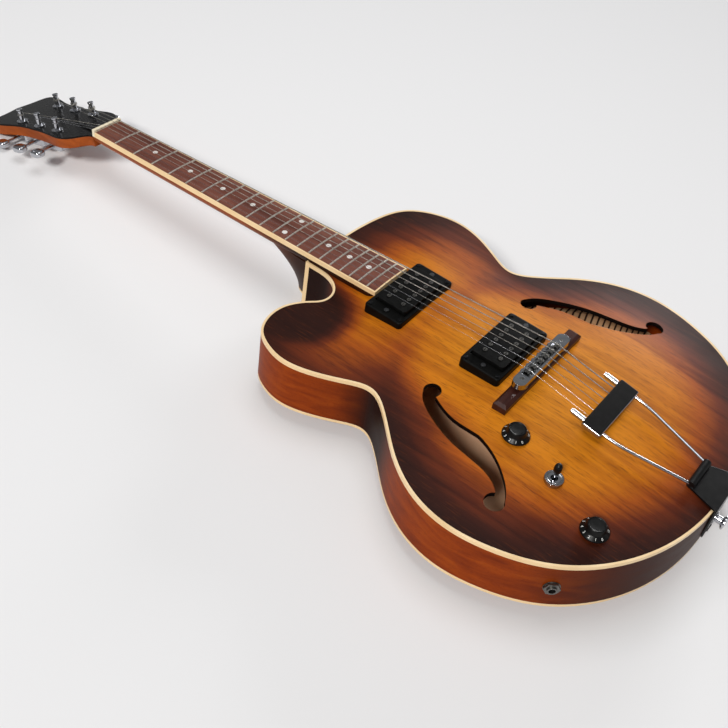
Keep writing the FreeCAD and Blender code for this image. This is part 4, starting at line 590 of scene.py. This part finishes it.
def string_route(order):
    """Points from the ball over the saddle and the nut, then a helix that sinks round the post."""
    radius = string_gauges[order] / 2
    share = string_shares[order]
    saddle_low, saddle_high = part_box("bridge_saddles")
    nut_low, nut_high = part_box("nut")
    bar_low, bar_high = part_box("tailpiece_bar")
    setback = saddle_setbacks.max() - saddle_setbacks[order]
    saddle = np.array([share * bridge_half_spread, saddle_low.y + saddle_half_length + setback,
                       saddle_high.z + saddle_gap + radius])
    nut = np.array([share * nut_half_spread, (nut_low.y + nut_high.y) / 2,
                    nut_high.z - nut_groove + radius])
    bar_middle = np.array([saddle[0], (bar_low.y + bar_high.y) / 2, (bar_low.z + bar_high.z) / 2])
    pull = (saddle - bar_middle) / np.linalg.norm(saddle - bar_middle)
    ball = bar_middle - pull * (bar_depth / 2 - ball_radius)
    post = joints[f"post_{order + 1}_turn"]
    upright = np.array(post["axis"])
    along_head = np.array([0, upright[2], -upright[1]])
    centre = np.array(post["pos_m"]) + upright * wrap_rise
    side = np.sign(centre[0])
    wrap = post_clearance + radius
    run = np.array([centre[0] - nut[0], (centre - nut) @ along_head])
    heading = np.arctan2(run[1], run[0]) + side * np.arcsin(wrap / np.linalg.norm(run))
    turned = np.linspace(0, quarter_turns * np.pi / 2, 8 * quarter_turns + 1)[:, None]
    angle = heading + side * (np.pi / 2 - turned)
    sink = (2 * radius + turn_gap) * turned / (2 * np.pi)
    around = np.cos(angle) * np.array([1, 0, 0]) + np.sin(angle) * along_head
    helix = centre + wrap * around - sink * upright
    return np.vstack([ball, rounded(ball, saddle, nut), rounded(saddle, nut, helix[0]), helix])


def tube(route, radius, sides=10):
    """Rings carried along a route, each square to it and levelled by the upright direction."""
    tangent = np.gradient(route, axis=0)
    tangent /= np.linalg.norm(tangent, axis=1, keepdims=True)
    level = np.cross(tangent, (0, 0, 1))
    level /= np.linalg.norm(level, axis=1, keepdims=True)
    rise = np.cross(level, tangent)
    angle = -np.arange(sides)[:, None] * 2 * np.pi / sides
    ring = np.cos(angle) * level[:, None] + np.sin(angle) * rise[:, None]
    return route[:, None] + radius * ring


plain_steel = polished("plain_steel", paint(188, 188, 190), 0.22)
winding = Finish("string_winding", roughness=0.32, metallic=1.0)
wire_pitch = 0.00036
run_length = winding.node("ShaderNodeAttribute", {"attribute_name": "run"}, out="Fac")
turns = winding.maths("SINE", run_length * (2 * np.pi / wire_pitch))
# The colour darkens in the groove between turns of wire: painted shade.
groove_shaded_tones = [(0.1, paint(96, 92, 86)), (0.8, paint(186, 182, 174))]
winding.colour(winding.ramp(turns * 0.5 + 0.5, groove_shaded_tones))
winding.rough(0.36 - turns * 0.06)
winding.relief(turns, 0.5, 0.0001)
wound_count = 4
routes = [string_route(order) for order in range(string_count)]
for order, route in enumerate(routes):
    rings = tube(route, string_gauges[order] / 2)
    kind, metal = ("wound", winding) if order < wound_count else ("plain", plain_steel)
    string = add_piece(f"string_{order + 1}", rings, grid_faces(rings), metal,
                       "guitar", f"{kind}_string", [f"{kind}_strings"])
    steps = np.linalg.norm(np.diff(route, axis=0), axis=1)
    run = np.repeat(np.concatenate([[0], np.cumsum(steps)]), rings.shape[1])
    string.data.attributes.new("run", "FLOAT", "POINT").data.foreach_set("value", run)

brass = polished("ball_brass", paint(190, 150, 84), 0.25)
ball_half_length = 0.002
ball_face = 0.0008
ball_edge = ball_radius - 0.0003
ball_groove = ball_radius - 0.0004
ball_profile = [(ball_face, -ball_half_length), (ball_edge, -ball_half_length),
                (ball_radius, -0.0012), (ball_groove, 0), (ball_radius, 0.0012),
                (ball_edge, ball_half_length), (ball_face, ball_half_length)]
for order, route in enumerate(routes):
    barrel = lathe(ball_profile, 20, (0, 0, 0))[:, :, [2, 0, 1]] + route[0]
    add_piece(f"ball_end_{order + 1}", barrel, grid_faces(barrel), brass, "guitar", "wound_string")


# Controls: two black knobs, numbered round their skirts, on the shafts of the volume and tone pots.
# Each knob is pressed on its shaft, and each pot is clamped in the top by its bushing and nut.
knob_black = Finish("knob_black", roughness=0.3, specular=0.25)
haze = knob_black.noise(knob_black.place(), 300.0, detail=5.0)
knob_black.colour(knob_black.ramp(haze, [(0.3, paint(5, 5, 5)), (0.7, paint(11, 11, 11))]))
knob_black.rough(0.26 + haze * 0.18)
figure_white = Finish("figure_white", roughness=0.5)
wear = figure_white.noise(figure_white.place(), 1500.0)
white_tones = [(0.3, paint(206, 206, 200)), (0.6, paint(240, 240, 236))]
figure_white.colour(figure_white.ramp(wear, white_tones))
nickel.dress("potentiometers", "volume_shaft", "tone_shaft")
skirt_low = np.array([0.0136, 0.0014])
skirt_high = np.array([0.0102, 0.0037])
figure_size = 0.0036
figure_lift = 0.00006
first_figure = 240
figure_step = 30
knob_foot = 0.0076


def figure_mesh(text):
    """Flat mesh of a figure, centred on the origin, as points and faces."""
    lettering = bpy.data.curves.new("figure", "FONT")
    lettering.body = text
    lettering.size = figure_size
    lettering.align_x = "CENTER"
    lettering.align_y = "CENTER"
    holder = bpy.data.objects.new("figure", lettering)
    flat = bpy.data.meshes.new_from_object(holder)
    points = np.empty(3 * len(flat.vertices))
    flat.vertices.foreach_get("co", points)
    faces = [list(face.vertices) for face in flat.polygons]
    bpy.data.objects.remove(holder)
    bpy.data.curves.remove(lettering)
    bpy.data.meshes.remove(flat)
    return points.reshape(-1, 3), faces


def skirt_figures(centre):
    """The figures 0 to 10 laid on a knob's sloping skirt, 30 degrees apart, feet outward."""
    all_points = []
    all_faces = []
    slope = (skirt_high - skirt_low) / np.linalg.norm(skirt_high - skirt_low)
    middle = (skirt_low + skirt_high) / 2
    for number in range(11):
        points, faces = figure_mesh(str(number))
        angle = np.radians(first_figure - figure_step * number)
        outward = np.array([np.cos(angle), np.sin(angle), 0])
        around = np.array([-np.sin(angle), np.cos(angle), 0])
        climb = slope[0] * outward + slope[1] * np.array([0, 0, 1])
        lift = np.cross(around, climb) * figure_lift
        spot = middle[0] * outward + np.array([0, 0, middle[1]]) + lift + np.array(centre)
        start = sum(len(block) for block in all_points)
        all_points.append(spot + points[:, :1] * around + points[:, 1:2] * climb)
        all_faces.extend([start + corner for corner in face] for face in faces)
    return np.vstack(all_points), all_faces


for control in ("volume", "tone"):
    low_corner, high_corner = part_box(f"{control}_knob")
    centre = ((low_corner.x + high_corner.x) / 2, (low_corner.y + high_corner.y) / 2, low_corner.z)
    tall = high_corner.z - low_corner.z
    wide = (high_corner.x - low_corner.x) / 2
    profile = [(knob_foot, 0), (wide, 0), (wide, 0.0010), skirt_low, skirt_high,
               (0.0098, 0.0045), (0.0090, tall - 0.0014), (0.0086, tall - 0.0004), (0.0080, tall),
               (0.0075, tall - 0.0001), (0.0070, tall - 0.0006), (0.0035, tall - 0.0009),
               (0.0005, tall - 0.0010)]
    knob = lathe(profile, 96, centre)
    add_piece(f"{control}_barrel", knob, grid_faces(knob), knob_black, control,
              "knob_black", [f"{control}_knob"])
    add_piece(f"{control}_figures", *skirt_figures(centre), figure_white, control, "knob_black")


# Pickup switch: a chromed lever with a black tip, swinging in a threaded bushing.
# A knurled nut clamps the bushing in the top; the contacts hang below it.
chrome.dress("toggle_switch")
pivot = joints["toggle_swing"]["pos_m"]
stick_profile = [(0.0013, -0.0033), (0.0016, -0.0028), (0.0015, 0.004), (0.0017, 0.0115),
                 (0.0017, 0.0123)]
stick = lathe(stick_profile, 32, pivot)
add_piece("switch_stick", stick, grid_faces(stick), chrome, "toggle", "toggle_metal",
          ["toggle_lever"])
tip_profile = [(0.0012, 0.0120), (0.0026, 0.0120), (0.0031, 0.0136), (0.0037, 0.0160),
               (0.0039, 0.0188), (0.0038, 0.0212), (0.0033, 0.0232), (0.0024, 0.0245),
               (0.0012, 0.0250), (0.0003, 0.02505)]
tip = lathe(tip_profile, 40, pivot)
add_piece("switch_tip", tip, grid_faces(tip), knob_black, "toggle", "toggle_tip",
          ["toggle_lever"])
nut_lift = 0.0001
nut_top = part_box("toggle_switch")[1].z + nut_lift
nut_wide = 0.00925
nut_bore = 0.0056
nut_deep = -0.0034
nut_bevel = 0.0006
nut_mouth = 0.0062
nut_mouth_depth = 0.0005
nut_profile = [(nut_bore, nut_deep), (nut_wide, nut_deep), (nut_wide, -nut_bevel),
               (nut_wide - nut_bevel, 0), (nut_mouth, 0), (nut_bore, -nut_mouth_depth)]
switch_nut = lathe(nut_profile, 180, (pivot[0], pivot[1], nut_top), flutes=60, depth=0.00035)
add_piece("switch_nut", switch_nut, grid_faces(switch_nut, wrapped=True), wheel_chrome, "guitar",
          "toggle_metal")


# Output jack: a nickelled sleeve through the treble side, clamped by a six-sided nut.
# The plug goes in from outside, square to the side.
nickel.dress("output_jack")
jack = next(mount for mount in record["mounts"] if mount["name"] == "output_jack")
outward = np.array(jack["axis"])
around = np.array([-outward[1], outward[0], 0])
jack_frame = np.stack([around, np.cross(outward, around), outward])
hex_bore = 0.0048
hex_face = 0.0074
hex_corner = 0.0081
hex_seat = 0.0008
hex_low_edge = 0.0012
hex_high_edge = 0.0030
hex_top = 0.0035
hex_profile = [(hex_bore, hex_seat), (hex_face, hex_seat), (hex_corner, hex_low_edge),
               (hex_corner, hex_high_edge), (hex_face, hex_top), (hex_bore, hex_top)]
hex_nut = lathe(hex_profile, 6, (0, 0, 0)) @ jack_frame + np.array(jack["pos_m"])
add_piece("jack_nut", hex_nut, grid_faces(hex_nut, wrapped=True), nickel, "guitar", "jack_metal",
          sharp=20.0)


# Stage: a pale matt floor under the guitar, in a dim grey room.
# A broad lamp stands high behind the viewer, one hangs above, and a low one shines from beyond.
floor_level = cad_box[0][2]
floor_reach = 30.0
floor_mesh = bpy.data.meshes.new("floor")
corner_signs = [(-1, -1), (1, -1), (1, 1), (-1, 1)]
floor_mesh.from_pydata([(x * floor_reach, y * floor_reach, floor_level) for x, y in corner_signs],
                       [], [(0, 1, 2, 3)])
floor = bpy.data.objects.new("floor", floor_mesh)
bpy.context.scene.collection.objects.link(floor)
floor_paint = Finish("pale_floor", roughness=0.9, specular=0.1)
floor_paint.shader.inputs["Base Color"].default_value = (0.80, 0.80, 0.81, 1.0)
floor.data.materials.append(floor_paint.material)

world = bpy.data.worlds.new("soft_room")
world.use_nodes = True
room = world.node_tree.nodes["Background"]
room.inputs["Color"].default_value = (0.95, 0.97, 1.0, 1.0)
room.inputs["Strength"].default_value = 0.22
bpy.context.scene.world = world


body_middle = Vector((0.0, 0.3, 0.0))


def soft_lamp(name, position, width, power, tint=(1.0, 1.0, 1.0)):
    """Square area lamp aimed at the middle of the body, unseen by the camera."""
    data = bpy.data.lights.new(name, "AREA")
    data.size = width
    data.energy = power
    data.color = tint
    lamp = bpy.data.objects.new(name, data)
    bpy.context.scene.collection.objects.link(lamp)
    lamp.location = position
    lamp.visible_camera = False
    aim = body_middle - Vector(position)
    lamp.rotation_euler = aim.to_track_quat("-Z", "Y").to_euler()


soft_lamp("key_lamp", (-7.6, -0.64, 7.0), 1.8, 790.0, (1.0, 0.98, 0.95))
soft_lamp("high_lamp", (0.1, 0.6, 2.0), 1.2, 13.0)
soft_lamp("far_lamp", (8.5, 1.55, 2.1), 3.0, 320.0)


# Camera: above the treble side near the tail, looking down across the body to the head.
# Its place and lens were fitted to the spacing of the frets in the photograph.
view_data = bpy.data.cameras.new("photo_view")
view_data.sensor_width = 36.0
view_data.lens = 50.2
view = bpy.data.objects.new("photo_view", view_data)
bpy.context.scene.collection.objects.link(view)
view_right = Vector((0.6134, -0.7795, 0.1268))
view_back = Vector((-0.6138, -0.3694, 0.6977))
view_place = Vector((-0.7266, -0.0228, 0.7354))
turn = Matrix((view_right, view_back.cross(view_right), view_back)).transposed().to_4x4()
view.matrix_world = Matrix.Translation(view_place) @ turn
bpy.context.scene.camera = view
bpy.context.scene.view_settings.view_transform = "Standard"
